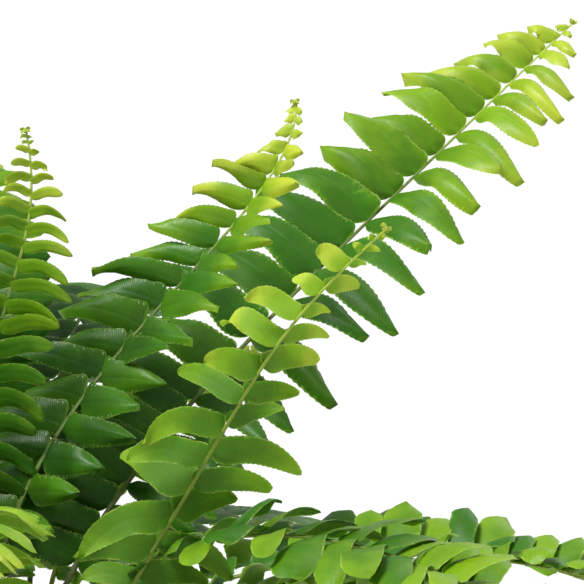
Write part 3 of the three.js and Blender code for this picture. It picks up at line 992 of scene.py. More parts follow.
        marks = {
            "edge": np.broadcast_to(np.abs(across), whole),
            "age": np.clip(leaves.age[:, None] + leaves.ripening[:, None] * along[None] ** 2, 0.0, 1.0),
            "tone": np.broadcast_to(tone, whole),
            "reach": np.broadcast_to(along, whole),
        }
        starts = (np.arange(count) * size)[:, None, None]
        crease = np.abs(across) == 1.0
        crease[:2] = True
        return Shell(
            points.reshape(-1, 3),
            [Faces((f.corners + starts).reshape(-1, f.corners.shape[1]), Part.LEAF.value, f.under) for f in faces],
            plan.reshape(-1, 2),
            {k: v.reshape(-1).astype(float) for k, v in marks.items()},
            np.tile(crease, count),
        )


# ---------------------------------------------------------------- fronds


@dataclass
class Stations:
    """Places along a frond's rib with the directions along, across and above it, and half its width."""

    place: Array
    along: Array
    across: Array
    above: Array
    radius: Array


class Midrib:
    """The curve of a stalk and its rib, which a list of points steers."""

    samples = 240
    tip_radius = 0.5

    def __init__(self, points: Array, face: float, foot_radius: float) -> None:
        """Takes the steering points and measures the curve.

        Args:
            points: The steering points, from the foot to the tip.
            face: The heading that the blade's underside looks to.
            foot_radius: Half the stalk's width at its foot.
        """
        self.points = np.asarray(points, float)
        self.foot_radius = foot_radius
        self.side = heading_vector(face + 90.0)
        self.t = np.linspace(0.0, 1.0, self.samples + 1)
        steps = np.linalg.norm(np.diff(self._curve(self.points, self.t), axis=0), axis=1)
        self.lengths = np.concatenate([[0.0], np.cumsum(steps)])

    @staticmethod
    def _curve(points: Array, t: Array) -> Array:
        """The Bezier curve: the sum of comb(n, k) t^k (1 - t)^(n - k) times point k.

        Args:
            points: The steering points.
            t: Parameters from 0 to 1.

        Returns:
            One place for each parameter.
        """
        n = len(points) - 1
        k = np.arange(n + 1)
        weights = np.array([comb(n, i) for i in k]) * t[:, None] ** k * (1.0 - t[:, None]) ** (n - k)
        return weights @ points

    def at(self, shares: Array) -> Stations:
        """Stations at shares of the length.

        Args:
            shares: Shares from 0, the foot, to 1, the tip.

        Returns:
            The stations.
        """
        t = np.interp(shares * self.lengths[-1], self.lengths, self.t)
        along = unit(self._curve(np.diff(self.points, axis=0), t))
        across = unit(self.side - dot(self.side, along) * along)
        radius = self.foot_radius + (self.tip_radius - self.foot_radius) * shares
        return Stations(self._curve(self.points, t), along, across, np.cross(along, across), radius)


@dataclass(frozen=True)
class Character:
    """How a frond's leaflets grow. Angles are in degrees, and a place on the blade is its share from the foot.

    Green: age is the green at the foot, from 0 (old) to 1 (new), tip_age what is added toward the tip from
    pales_from on, rib_age what is added on the rib, mottle how much the leaflets differ, and ripening how
    much lighter a leaflet's own tip is.

    Size: low_length is the lowest leaflets' length over the longest, full_from where the longest begin, taper
    how late they shorten toward the tip, and vary how much the lengths differ. side_taper is how much shorter
    one side's leaflets get toward the tip, the second side's where it is negative. fill is a leaflet's width
    over the room that it has, tip_fill scales that toward the tip, and uneven is how much the widths differ.
    A leaflet is at most broad times its length plus narrowest wide.

    Attitude: blind turns a leaflet like the slat of a blind, sweep leans it toward the frond's tip, and unruly
    is how much the lifts differ. tip_arch is the extra sag and lift near the tip. What droop, curl, turn,
    sickle, skyward, pear, wave and camber mean is told in Leaflets.

    Rows: other_side, other_lift, other_droop, other_width and other_pear change the length, lift, sag, width
    and outline on the second side. tightening is how much closer the pairs stand toward the tip, and low_extra
    and tip_extra count the intervals at the foot and the tip that hold two pairs in place of one.
    """

    age: float = 0.2
    tip_age: float = 0.5
    fill: float = 1.1
    blind: float = 15.0
    sweep: float = 14.0
    droop: float = 0.3
    curl: float = 0.1
    turn: float = 18.0
    wave: float = 0.025
    camber: float = 0.09
    unruly: float = 5.0
    vary: float = 0.08
    ripening: float = 0.16
    other_side: float = 1.0
    tightening: float = 0.5
    sickle: float = 0.05
    skyward: float = 0.3
    pear: float = 0.15
    low_length: float = 0.58
    full_from: float = 0.35
    taper: float = 3.8
    pales_from: float = 0.35
    rib_age: float = 0.0
    mottle: float = 0.06
    broad: float = 0.3
    narrowest: float = 2.2
    side_taper: float = 0.0
    tip_fill: float = 1.0
    uneven: float = 0.08
    other_lift: float = 0.0
    other_droop: float = 1.0
    other_width: float = 1.0
    other_pear: float = 0.0
    tip_arch: float = 0.0
    low_extra: int = 0
    tip_extra: int = 2


OLD_LEAF = Character(age=0.04, tip_age=0.55, curl=0.08)
GREEN_LEAF = Character(age=0.2, tip_age=0.55, fill=1.25, uneven=0.18, vary=0.12)
FRESH_LEAF = Character(
    age=0.42, tip_age=0.4, mottle=0.16, fill=1.35, uneven=0.25, broad=0.45, vary=0.16,
    blind=24.0, turn=26.0, unruly=14.0,
)
NEW_LEAF = Character(age=0.62, tip_age=0.4, fill=1.0, curl=0.14, turn=24.0, wave=0.035, unruly=9.0)


@dataclass
class Frond(ABC):
    """One frond.

    number sets its own small irregularities. pairs is the number of leaflet pairs, which crowd multiplies, and
    leaf the longest leaflet's length. level turns the rows from square to the rib, at 0, to level, at 1, and
    lift is the angle at which leaflets stand up from there. start is the share of the rib where they begin,
    scales the number of papery scales, and foot_radius half the stalk's width at its foot.

    end is the share of the rib where the leaflets end, tip_length the shortest one's length over the longest,
    tip_sweep the extra lean at the tip, arch_lift the lift for a tip_arch of 1, and loose how much leans and
    slants differ, in degrees. stagger sets one row's roots before the other's, in intervals, and inset moves
    roots out of the rib's middle, by its radius. most_level is the most that a leaflet rolls level.
    """

    name: str
    number: int
    pairs: int
    leaf: float
    slot: Slot
    character: Character
    level: float = 0.5
    lift: float = 16.0
    crowd: float = 1.0
    form: LeafletForm = LeafletForm()
    start: float = 0.16
    scales: int = 240
    foot_radius: float = 1.5

    end = 0.992
    tip_length = 0.12
    tip_sweep = 16.0
    arch_lift = 40.0
    loose = 4.0
    stagger = 0.1
    inset = 0.4
    most_level = 0.97
    scale_seed = 700
    rib_rings = 88
    rib_sides = 9
    rib_height = 0.8
    rib_groove = 0.55
    coil_rings = 26
    coil_radius = 1.0
    coil_turns = 1.1
    coil_pairs = 4
    coil_form = LeafletForm(steps=4, teeth=2, tooth_depth=0.05, half_thickness=0.1, groove=0.06, keel=0.12)

    @abstractmethod
    def midrib(self) -> Midrib:
        """The curve of the stalk and rib."""

    def _shares(self) -> Array:
        """Even shares of the blade, which part the pairs, and more of them between for the extra pairs.

        Returns:
            The shares in rising order.
        """
        ways = self.character
        pairs = round(self.pairs * self.crowd)
        u = np.arange(pairs + 1) / pairs
        between = (u[:-1] + u[1:]) / 2.0
        return np.sort(np.concatenate([u, between[: ways.low_extra], between[pairs - ways.tip_extra :]]))

    def _length_share(self, u: Array) -> Array:
        """A leaflet's length over the longest at share u of the blade: a rise, times 1 - u^taper.

        Args:
            u: Shares of the blade.

        Returns:
            Shares of the longest leaflet's length.
        """
        ways = self.character
        rise = ways.low_length + (1.0 - ways.low_length) * smooth(0.0, ways.full_from, u)
        return rise * np.maximum(self.tip_length, 1.0 - u**ways.taper)

    def _leaflets(self, rib: Midrib) -> Leaflets:
        """The two rows of leaflets, between stations that stand closer toward the tip.

        Args:
            rib: The frond's curve.

        Returns:
            The leaflets.
        """
        ways = self.character
        u = self._shares()
        spaced = (1.0 + ways.tightening) * u - ways.tightening * u * u
        s = rib.at(self.start + (1.0 - self.start) * self.end * spaced)
        index = np.repeat(np.arange(len(u) - 1), 2)
        hand = np.tile([1.0, -1.0], len(u) - 1)
        middle = ((u[:-1] + u[1:]) / 2.0)[index]

        def draw(kind: int) -> Array:
            """One steady value between -1 and 1 for each leaflet."""
            return jitter(self.number + kind, 2 * index + hand)

        def differing(share: float, kind: int) -> Array:
            """Factors that differ from 1 by at most a share."""
            return 1.0 + share * draw(kind)

        def by_side(first: float, second: float) -> Array:
            """One value on the first side of the rib and another on the second."""
            return np.where(hand < 0.0, second, first)

        step = s.place[1:] - s.place[:-1]
        shift = 0.5 + self.stagger * hand[:, None]
        root = s.place[:-1][index] * (1.0 - shift) + s.place[1:][index] * shift
        pitch = np.linalg.norm(step, axis=1)[index]
        along = unit(step)[index]
        across = unit(s.across[:-1] + s.across[1:])[index]
        across = unit(across + (rib.side - across) * self.level) * hand[:, None]
        above = unit(s.above[:-1] + s.above[1:])[index]
        sweep = np.radians(ways.sweep + self.tip_sweep * middle**2 + self.loose * draw(2))[:, None]
        flat = across * np.cos(sweep) + along * np.sin(sweep)
        arched = ways.tip_arch * smooth(0.25, 0.9, middle) * by_side(1.0, 0.4)
        lift = self.lift + by_side(0.0, ways.other_lift) + self.arch_lift * arched
        angle = np.radians(lift + ways.unruly * draw(0))[:, None]
        out = flat * np.cos(angle) + above * np.sin(angle)
        wide = unit(along - dot(along, out) * out)
        normal = unit(np.cross(out, wide)) * -hand[:, None]
        blind = np.radians(ways.blind + self.loose * draw(3))[:, None]
        length = self.leaf * self._length_share(middle) * differing(ways.vary, 1) * by_side(1.0, ways.other_side)
        tapered = np.where(np.sign(ways.side_taper) * hand > 0.0, abs(ways.side_taper), 0.0)
        length = length * (1.0 - tapered * smooth(0.3, 0.85, middle))
        room = pitch * np.linalg.norm(np.cross(along, out), axis=1)
        fill = ways.fill * (1.0 + (ways.tip_fill - 1.0) * smooth(0.35, 0.85, middle))
        width = np.minimum(room * fill, ways.broad * length + ways.narrowest)
        paling = ways.tip_age * smooth(ways.pales_from, 1.0, middle)
        droop = ways.droop * by_side(1.0, ways.other_droop) + arched
        skyward = ways.skyward * differing(0.4, 13) * by_side(1.0, 0.35)
        ripening = ways.ripening * (0.35 + 0.65 * smooth(0.15, 0.75, middle))
        return Leaflets(
            root=root + across * (s.radius[:-1][index][:, None] * self.inset),
            out=out,
            slat=wide * np.cos(blind) + normal * np.sin(blind),
            normal=normal,
            length=length,
            width=width * differing(ways.uneven, 9) * by_side(1.0, ways.other_width),
            hand=hand,
            droop=droop * differing(0.3, 5),
            curl=ways.curl * differing(0.8, 6),
            turn=np.radians(ways.turn) * draw(7),
            sickle=ways.sickle * differing(1.2, 12),
            skyward=np.clip(skyward, 0.0, self.most_level),
            pear=ways.pear + by_side(0.0, ways.other_pear) + 0.2 * draw(14),
            wave=ways.wave * differing(1.0, 8),
            camber=ways.camber * differing(0.6, 10),
            age=np.clip(ways.age + paling + ways.mottle * draw(4), 0.0, 1.0),
            ripening=ripening * differing(0.4, 11),
            tone=draw(4),
        )

    def _coil(self, rib: Midrib) -> Stations:
        """The coiled tip: a spiral in the plane of along and above, whose radius shrinks by 0.62.

        Args:
            rib: The frond's curve.

        Returns:
            The coil's stations.
        """
        end = rib.at(np.array([1.0]))
        q = np.linspace(0.0, 1.0, self.coil_rings)
        angle = (2.0 * np.pi * self.coil_turns * q)[:, None]
        radius = (self.coil_radius * (1.0 - 0.62 * q))[:, None]
        centre = end.place + end.above * self.coil_radius
        outward = np.sin(angle) * end.along - np.cos(angle) * end.above
        along = unit(np.cos(angle) * end.along + np.sin(angle) * end.above)
        across = np.broadcast_to(end.across, along.shape)
        return Stations(centre + outward * radius, along, across, -outward, 0.7 - 0.2 * q)

    def _coil_leaflets(self, coil: Stations) -> Leaflets:
        """The folded leaflets on the coil, smaller toward its end.

        Args:
            coil: The coil's stations.

        Returns:
            The leaflets.
        """
        pick = np.repeat(np.linspace(2, len(coil.place) - 3, self.coil_pairs).astype(int), 2)
        hand = np.tile([1.0, -1.0], self.coil_pairs)
        share = np.linspace(0.0, 1.0, len(pick))
        along = coil.along[pick]
        out = unit(coil.across[pick] * hand[:, None] + along * 0.5)
        wide = unit(along - dot(along, out) * out)
        zero = np.zeros(len(pick))
        return Leaflets(
            root=coil.place[pick], out=out, slat=wide, normal=unit(np.cross(out, wide)) * -hand[:, None],
            length=2.9 - 1.3 * share, width=1.9 - 0.8 * share, hand=hand, droop=zero, curl=zero - 0.3, turn=zero,
            sickle=zero, skyward=zero, pear=zero, wave=zero, camber=zero + 0.05, age=zero + 1.0, ripening=zero,
            tone=0.5 * jitter(self.number, share * 9.0),
        )

    def _rib(self, rib: Midrib, coil: Stations) -> Shell:
        """The rib: an ellipse, rib_height as high as wide and grooved on top, carried along its curve.

        Args:
            rib: The frond's curve.
            coil: The coil's stations.

        Returns:
            The closed shell.
        """
        shares = np.linspace(0.0, 1.0, self.rib_rings)
        s, sides = rib.at(shares), self.rib_sides
        place, across, above = (
            np.concatenate([getattr(s, key), getattr(coil, key)[1:]]) for key in ("place", "across", "above")
        )
        radius = np.concatenate([s.radius * (1.0 + 0.05 * np.sin(shares * 140.0)), coil.radius[1:]])
        angle = ring_angles(sides) + 0.5 * np.pi
        groove = np.where(np.arange(sides) == 0, self.rib_groove, 1.0)
        wide = radius[:, None, None] * np.cos(angle)[None, :, None] * across[:, None]
        high = radius[:, None, None] * (self.rib_height * np.sin(angle) * groove)[None, :, None] * above[:, None]
        points = (place[:, None] + wide + high).reshape(-1, 3)
        rows, cap = len(place), np.arange(sides)
        corners = [grid_faces(rows, sides), cap[None], ((rows - 1) * sides + cap)[None, ::-1]]
        full = np.concatenate([shares, np.ones(rows - len(shares))])
        ways = self.character
        age = np.clip(ways.age + ways.rib_age + ways.tip_age * smooth(0.55, 1.05, full), 0.0, 1.0)
        marks = {"age": np.repeat(age, sides), "reach": np.repeat(full, sides)}
        return Shell.soft(points, [Faces(c, Part.RIB.value) for c in corners], **marks)

    def _scales(self, rib: Midrib) -> Shell:
        """Papery scales: slim spikes of three sides that stand off the rib and lean toward its tip.

        Args:
            rib: The frond's curve.

        Returns:
            Their closed shells as one.
        """
        chance = np.random.default_rng(self.scale_seed + self.number)
        count = self.scales
        shares = chance.random(count) ** 1.3 * 0.97
        s = rib.at(shares)
        foot = 1.0 - smooth(0.05, 0.2, shares)
        angle = chance.random(count) * 2.0 * np.pi
        away = np.cos(angle)[:, None] * s.across + self.rib_height * np.sin(angle)[:, None] * s.above
        around = unit(np.cross(s.along, away))
        lean = (0.6 + 1.1 * chance.random(count))[:, None]
        point_way = unit(unit(away) + s.along * lean + around * (chance.random(count)[:, None] - 0.5))
        long = (0.5 + 1.0 * chance.random(count) + 1.8 * foot * chance.random(count)) * (1.15 - 0.5 * shares)
        wide = (0.13 + 0.1 * chance.random(count) + 0.1 * foot)[:, None]
        base = s.place + away * s.radius[:, None] * 0.8
        a, b, c = base + around * wide, base - around * wide, base + s.along * wide * 1.2
        point = base + point_way * long[:, None]
        pattern = np.array([[0, 2, 1], [0, 1, 3], [1, 2, 3], [2, 0, 3]])
        faces = (pattern[None] + 4 * np.arange(count)[:, None, None]).reshape(-1, 3)
        inward = np.repeat(np.sum(np.cross(b - a, c - a) * (point - a), axis=1) < 0.0, 4)
        faces[inward] = faces[inward][:, ::-1]
        points = np.stack([a, b, c, point], 1).reshape(-1, 3)
        return Shell.soft(points, [Faces(faces, Part.CHAFF.value)], reach=np.repeat(shares, 4))

    def build(
        self, leaves: dict[Slot, bpy.types.Material], rib_finish: bpy.types.Material, chaff: bpy.types.Material
    ) -> None:
        """Makes the frond's mesh in place of its plain solid.

        Args:
            leaves: The leaf material of each slot.
            rib_finish: The rib's material.
            chaff: The scales' material.
        """
        rib = self.midrib()
        coil = self._coil(rib)
        shell = Shell.joined([
            self.form.shell(self._leaflets(rib)),
            self.coil_form.shell(self._coil_leaflets(coil)),
            self._rib(rib, coil),
            self._scales(rib),
        ])
        piece = shell.make(self.name + "_leaves", [leaves[self.slot], rib_finish, chaff])
        settle(piece, self.name)


@dataclass
class NamedFrond(Frond):
    """A frond whose steering points are known one by one."""

    path: tuple[tuple[float, float, float], ...] = ()
    face: float = 0.0

    def midrib(self) -> Midrib:
        """The curve that its own points steer."""
        return Midrib(np.array(self.path), self.face, self.foot_radius)


@dataclass
class RoundFrond(Frond):
    """A frond by its heading, ring, reach, crest, end height and sideways bend."""

    heading: float = 0.0
    ring: float = 40.0
    reach: float = 250.0
    crest: float = 90.0
    end_height: float = 0.0
    bend: float = 0.0

    mix_height = 115.0

    def midrib(self) -> Midrib:
        """Up 0.48 of the crest, over it half way out, and down to the end, bent aside.

        Returns:
            The curve.
        """
        out, side = heading_vector(self.heading), heading_vector(self.heading + 90.0)
        foot = out * self.ring + UP * self.mix_height
        stalk = foot + UP * 0.48 * self.crest
        over = foot + out * 0.5 * self.reach + UP * self.crest + side * 0.3 * self.bend
        last = foot + out * self.reach + UP * self.end_height + side * self.bend
        return Midrib(np.array([foot, stalk, over, last]), self.heading, self.foot_radius)


class Crown:
    """All the fronds of the plant."""

    plain = LeafletForm(steps=7, teeth=2, tooth_depth=0.25)
    crenate = LeafletForm(steps=12, tooth_depth=0.6, far_round=0.66, near_round=0.44, tip_power=1.65)
    blunt = LeafletForm(tooth_depth=0.4, far_round=0.45, near_round=0.35, tip_power=1.9)
    rounded_off = LeafletForm(near_flare=0.26, far_round=0.5, near_round=0.42, tip_power=2.0, tooth_depth=0.3)
    pointed = LeafletForm(near_flare=0.3, far_round=0.6, near_round=0.5, tip_power=1.75)
    named = (
        NamedFrond(
            "frond_main_long", 0, 21, 65, Slot.GREEN,
            Character(
                age=0.19, tip_age=0.71, pales_from=0.2, mottle=0.012, ripening=0.28,
                fill=1.12, tip_fill=0.82, broad=0.26, narrowest=4.4, uneven=0.04, pear=0.4,
                low_length=0.75, full_from=0.2, taper=6.5, side_taper=-0.15, vary=0.05,
                blind=12, sweep=2, droop=0.28, curl=0.2, turn=10, wave=0.05, camber=0.2, skyward=0.75, unruly=3,
                other_side=0.88, other_lift=6, other_droop=1.6, other_width=0.88, other_pear=-1.2,
                tip_arch=0.22, low_extra=4, tip_extra=0,
            ),
            level=0.0, lift=37, start=0.1, scales=620, form=crenate, face=78,
            path=((16, 6, 115), (16, 6, 207), (172, 156, 298), (196, 177, 330), (282, 259, 397)),
        ),
        NamedFrond(
            "frond_dark_inner", 1, 20, 49, Slot.DARK,
            Character(
                age=0.11, tip_age=0.85, mottle=0.04, ripening=0.5,
                fill=1.04, tip_fill=0.9, broad=0.34, uneven=0.15, pear=0.65,
                low_length=0.9, full_from=0.2, taper=3.6, vary=0.17,
                blind=18, sweep=2, droop=0.26, curl=0.12, turn=34, wave=0.05, camber=0.2, skyward=0.85, unruly=15,
                other_side=0.85, other_droop=0.35, tip_arch=0.2, tightening=0.35, tip_extra=1,
            ),
            level=0.9, lift=26, scales=560, form=pointed, face=54,
            path=((-8, -10, 115), (-8, -10, 177), (-7, 59, 241), (134, 46, 314), (132, 74, 372)),
        ),
        NamedFrond(
            "frond_young_front", 2, 14, 34, Slot.YOUNG,
            Character(
                age=0.3, tip_age=0.42, rib_age=0.2, ripening=0.65,
                fill=0.8, uneven=0.25, pear=0.35, taper=4.5, side_taper=0.4, vary=0.26,
                blind=44, sweep=18, droop=0.5, turn=44, wave=0.07, unruly=20,
                other_side=1.25, tightening=0.2, tip_extra=1,
            ),
            level=0.7, lift=22, scales=360, foot_radius=1.2, form=rounded_off, face=-82,
            path=((30, -26, 115), (30, -26, 125), (131, -110, 290), (100, -107, 277), (166, -140, 344)),
        ),
        NamedFrond(
            "frond_upright_left", 3, 21, 34, Slot.GREEN,
            Character(
                age=0.22, tip_age=0.72, pales_from=0.05, mottle=0.03, ripening=0.2,
                fill=1.0, tip_fill=0.85, broad=0.42, pear=0.1, taper=3.4,
                blind=26, sweep=30, droop=0.62, turn=20, skyward=0.0, tightening=0.45, tip_extra=1,
            ),
            level=0.6, lift=18, form=blunt, face=84,
            path=((-14, 14, 115), (-14, 14, 166), (-28, 32, 292), (22, 39, 286), (8, 46, 362)),
        ),
        NamedFrond(
            "frond_young_inner", 4, 12, 34, Slot.YOUNG, NEW_LEAF, face=40,
            path=((14, 17, 115), (14, 17, 172), (38, 100, 226), (122, 132, 246)),
        ),
    )

    # name, slot, character, heading, ring, reach, crest, end, bend, pairs, leaf, lift
    rounded = (
        ("frond_upright_back", Slot.GREEN, GREEN_LEAF, 108, 30, 110, 235, 226, -14, 15, 37, 16),
        ("frond_upright_side", Slot.GREEN, GREEN_LEAF, 164, 30, 120, 270, 262, 18, 15, 38, 16),
        ("frond_upright_far", Slot.GREEN, GREEN_LEAF, 207, 24, 134, 262, 238, -16, 16, 37, 16),
        ("frond_arching_01", Slot.DARK, OLD_LEAF, 76, 27, 215, 205, 122, 16, 16, 41, 16),
        ("frond_arching_02", Slot.DARK, OLD_LEAF, 130, 36, 246, 214, 128, 22, 17, 42, 16),
        ("frond_arching_03", Slot.DARK, OLD_LEAF, 176, 27, 270, 226, 150, -20, 17, 43, 16),
        ("frond_arching_04", Slot.DARK, OLD_LEAF, 230, 38, 256, 212, 128, -18, 17, 43, 16),
        ("frond_arching_05", Slot.YOUNG, NEW_LEAF, 265, 30, 170, 148, 96, 16, 15, 38, 16),
        ("frond_arching_06", Slot.GREEN, FRESH_LEAF, 332, 27, 262, 134, 50, -8, 16, 41, 22),
        ("frond_low_01", Slot.GREEN, FRESH_LEAF, 2, 40, 292, 90, 18, 16, 17, 36, 40),
        ("frond_low_02", Slot.GREEN, FRESH_LEAF, -15, 41, 286, 95, 22, -12, 17, 38, 38),
        ("frond_low_03", Slot.GREEN, FRESH_LEAF, 24, 39, 280, 76, 4, -14, 16, 37, 38),
        ("frond_low_04", Slot.DARK, GREEN_LEAF, 58, 40, 275, 74, -18, 16, 15, 40, 16),
        ("frond_low_05", Slot.GREEN, GREEN_LEAF, 96, 40, 290, 96, -8, -18, 15, 40, 16),
        ("frond_low_06", Slot.DARK, OLD_LEAF, 128, 41, 268, 78, -34, 14, 15, 39, 16),
        ("frond_low_07", Slot.DARK, OLD_LEAF, 154, 44, 292, 104, 4, -22, 16, 41, 16),
        ("frond_low_08", Slot.DARK, OLD_LEAF, 192, 41, 282, 90, -20, 18, 15, 40, 16),
        ("frond_low_09", Slot.GREEN, GREEN_LEAF, 212, 43, 268, 70, -42, -12, 15, 38, 16),
        ("frond_low_10", Slot.DARK, OLD_LEAF, 246, 43, 286, 92, -12, 20, 15, 40, 16),
        ("frond_low_11", Slot.DARK, OLD_LEAF, 277, 42, 262, 74, -30, -16, 15, 39, 16),
        ("frond_low_12", Slot.DARK, OLD_LEAF, 306, 40, 276, 80, -18, 14, 15, 40, 16),
    )
    crowd = 1.3

    def fronds(self) -> list[Frond]:
        """Every frond, the named ones first.

        Returns:
            The fronds in the order of their numbers.
        """
        others = [
            RoundFrond(
                name, number, pairs, leaf, slot, ways, lift=lift, crowd=self.crowd, form=self.plain,
                heading=heading, ring=ring, reach=reach, crest=crest, end_height=end, bend=bend,
            )
            for number, (name, slot, ways, heading, ring, reach, crest, end, bend, pairs, leaf, lift)
            in enumerate(self.rounded, len(self.named))
        ]
        return [*self.named, *others]

    def build(self, effects: Effects) -> None:
        """Makes all fronds with their shared finishes.

        Args:
            effects: The shared node groups.
        """
        # rim is the strength of the highlight painted along the leaflets' margins.
        dark = {"old": srgb(28, 68, 7), "mature": srgb(60, 114, 10), "lime": 0.8, "glow": 0.15, "rim": 0.25}
        young = {"fresh": srgb(122, 164, 20), "new": srgb(178, 198, 56), "lime": 0.0, "glow": 0.35}
        leaves = {
            Slot.GREEN: LeafFinish("leaf_green", 0.41, 0.33).build(effects),
            Slot.DARK: LeafFinish("leaf_dark", 0.38, 0.33, **dark).build(effects),
            Slot.YOUNG: LeafFinish("leaf_young", 0.46, 0.3, **young).build(effects),
        }
        rib = RibFinish("frond_rib", 0.55).build(effects)
        chaff = ChaffFinish("chaff", 0.7, 0.3).build(effects)
        for frond in self.fronds():
            frond.build(leaves, rib, chaff)


# ---------------------------------------------------------------- pot and mix

Point = tuple[float, float]


@dataclass
class ClayPot:
    """The turned pot, with a band round its mouth and drain holes in its floor."""

    height: float = 130.0
    base_radius: float = 50.0
    neck_radius: float = 67.0
    rim_radius: float = 75.0
    rim_height: float = 28.0
    wall: float = 7.0
    floor: float = 9.0
    drain_radius: float = 4.5
    drain_circle: float = 24.0
    drain_holes: int = 4
    sides: int = 144

    lip = 2.6
    corner = 5.0
    drill_sides = 32
    drill_reach = 4.0

    def inside(self, z: Array | float) -> Array | float:
        """Inner radius at height z: a straight taper from the floor to the lip."""
        low, high = self.base_radius - self.wall + 1.0, self.rim_radius - self.wall - 1.0
        return low + (high - low) * (z - self.floor) / (self.height - self.floor)

    def _profile(self) -> Array:
        """Radius and height from the middle of the floor, over the lip, to the middle of the underside.

        Returns:
            One radius and height for each point.
        """

        def bend(centre: Point, radius: float, start: float, stop: float) -> Array:
            """An arc of the outline, in degrees from straight outward."""
            angle = np.radians(np.linspace(start, stop, 6))
            return np.array(centre) + radius * np.stack([np.cos(angle), np.sin(angle)], -1)

        def taper(start: Point, stop: Point, count: int) -> Array:
            """Evenly spaced points of a straight stretch, without its ends."""
            q = np.linspace(0.0, 1.0, count + 2)[1:-1, None]
            return np.array(start) + (np.array(stop) - np.array(start)) * q

        band, lip, corner = self.height - self.rim_height, self.lip, self.corner
        heel = self.inside(self.floor) - corner
        low, high = self.floor + 6.0, self.height - 4.0
        return np.concatenate([
            [(1.0, self.floor), (12.0, self.floor), (30.0, self.floor), (heel, self.floor)],
            bend((heel, self.floor + corner), corner, -80.0, -8.0),
            taper((self.inside(low), low), (self.inside(high), high), 8),
            bend((self.inside(self.height) + lip, self.height - lip), lip, 172.0, 96.0),
            bend((self.rim_radius - lip, self.height - lip), lip, 84.0, -4.0),
            taper((self.rim_radius - 0.1, self.height - 3.0), (self.rim_radius - 2.4, band + 4.0), 5),
            bend((self.rim_radius - 4.6, band + 2.2), 2.2, -2.0, -88.0),
            [(self.neck_radius + 1.2, band + 0.1), (self.neck_radius + 0.1, band - 0.9)],
            taper((self.neck_radius, band - 2.0), (self.base_radius, 3.0), 9),
            bend((self.base_radius - 1.6, 1.7), 1.7, -10.0, -88.0),
            [(self.base_radius - 9.0, 0.0), (30.0, 0.0), (12.0, 0.0), (1.0, 0.0)],
        ])

    def _drills(self) -> Shell:
        """The round bars that the drain holes are cut with.

        Returns:
            Their closed shells as one.
        """
        top, foot = self.floor + self.drill_reach, -self.drill_reach
        drills = []
        for spot in (np.arange(self.drain_holes) + 0.5) * 360.0 / self.drain_holes:
            drill = turned_shell(np.full(2, self.drain_radius), np.array([top, top, foot, foot]), self.drill_sides)
            drill.points += self.drain_circle * heading_vector(spot)
            drills.append(drill)
        return Shell.joined(drills)

    def build(self, finish: bpy.types.Material) -> None:
        """Makes the pot and cuts its drain holes.

        Args:
            finish: The clay.
        """
        outline = self._profile()
        heights = np.concatenate([[self.floor], outline[:, 1], [0.0]])
        piece = turned_shell(outline[:, 0], heights, self.sides).make("clay_pot", [finish])
        cutter = self._drills().make("drain_drills", [finish])
        cut = piece.modifiers.new("drains", "BOOLEAN")
        cut.operation, cut.solver, cut.object = "DIFFERENCE", "EXACT", cutter
        graph = bpy.context.evaluated_depsgraph_get()
        drilled = bpy.data.meshes.new_from_object(piece.evaluated_get(graph))
        piece.modifiers.clear()
        piece.data = drilled
        bpy.data.objects.remove(cutter)
        settle(piece, "pot")


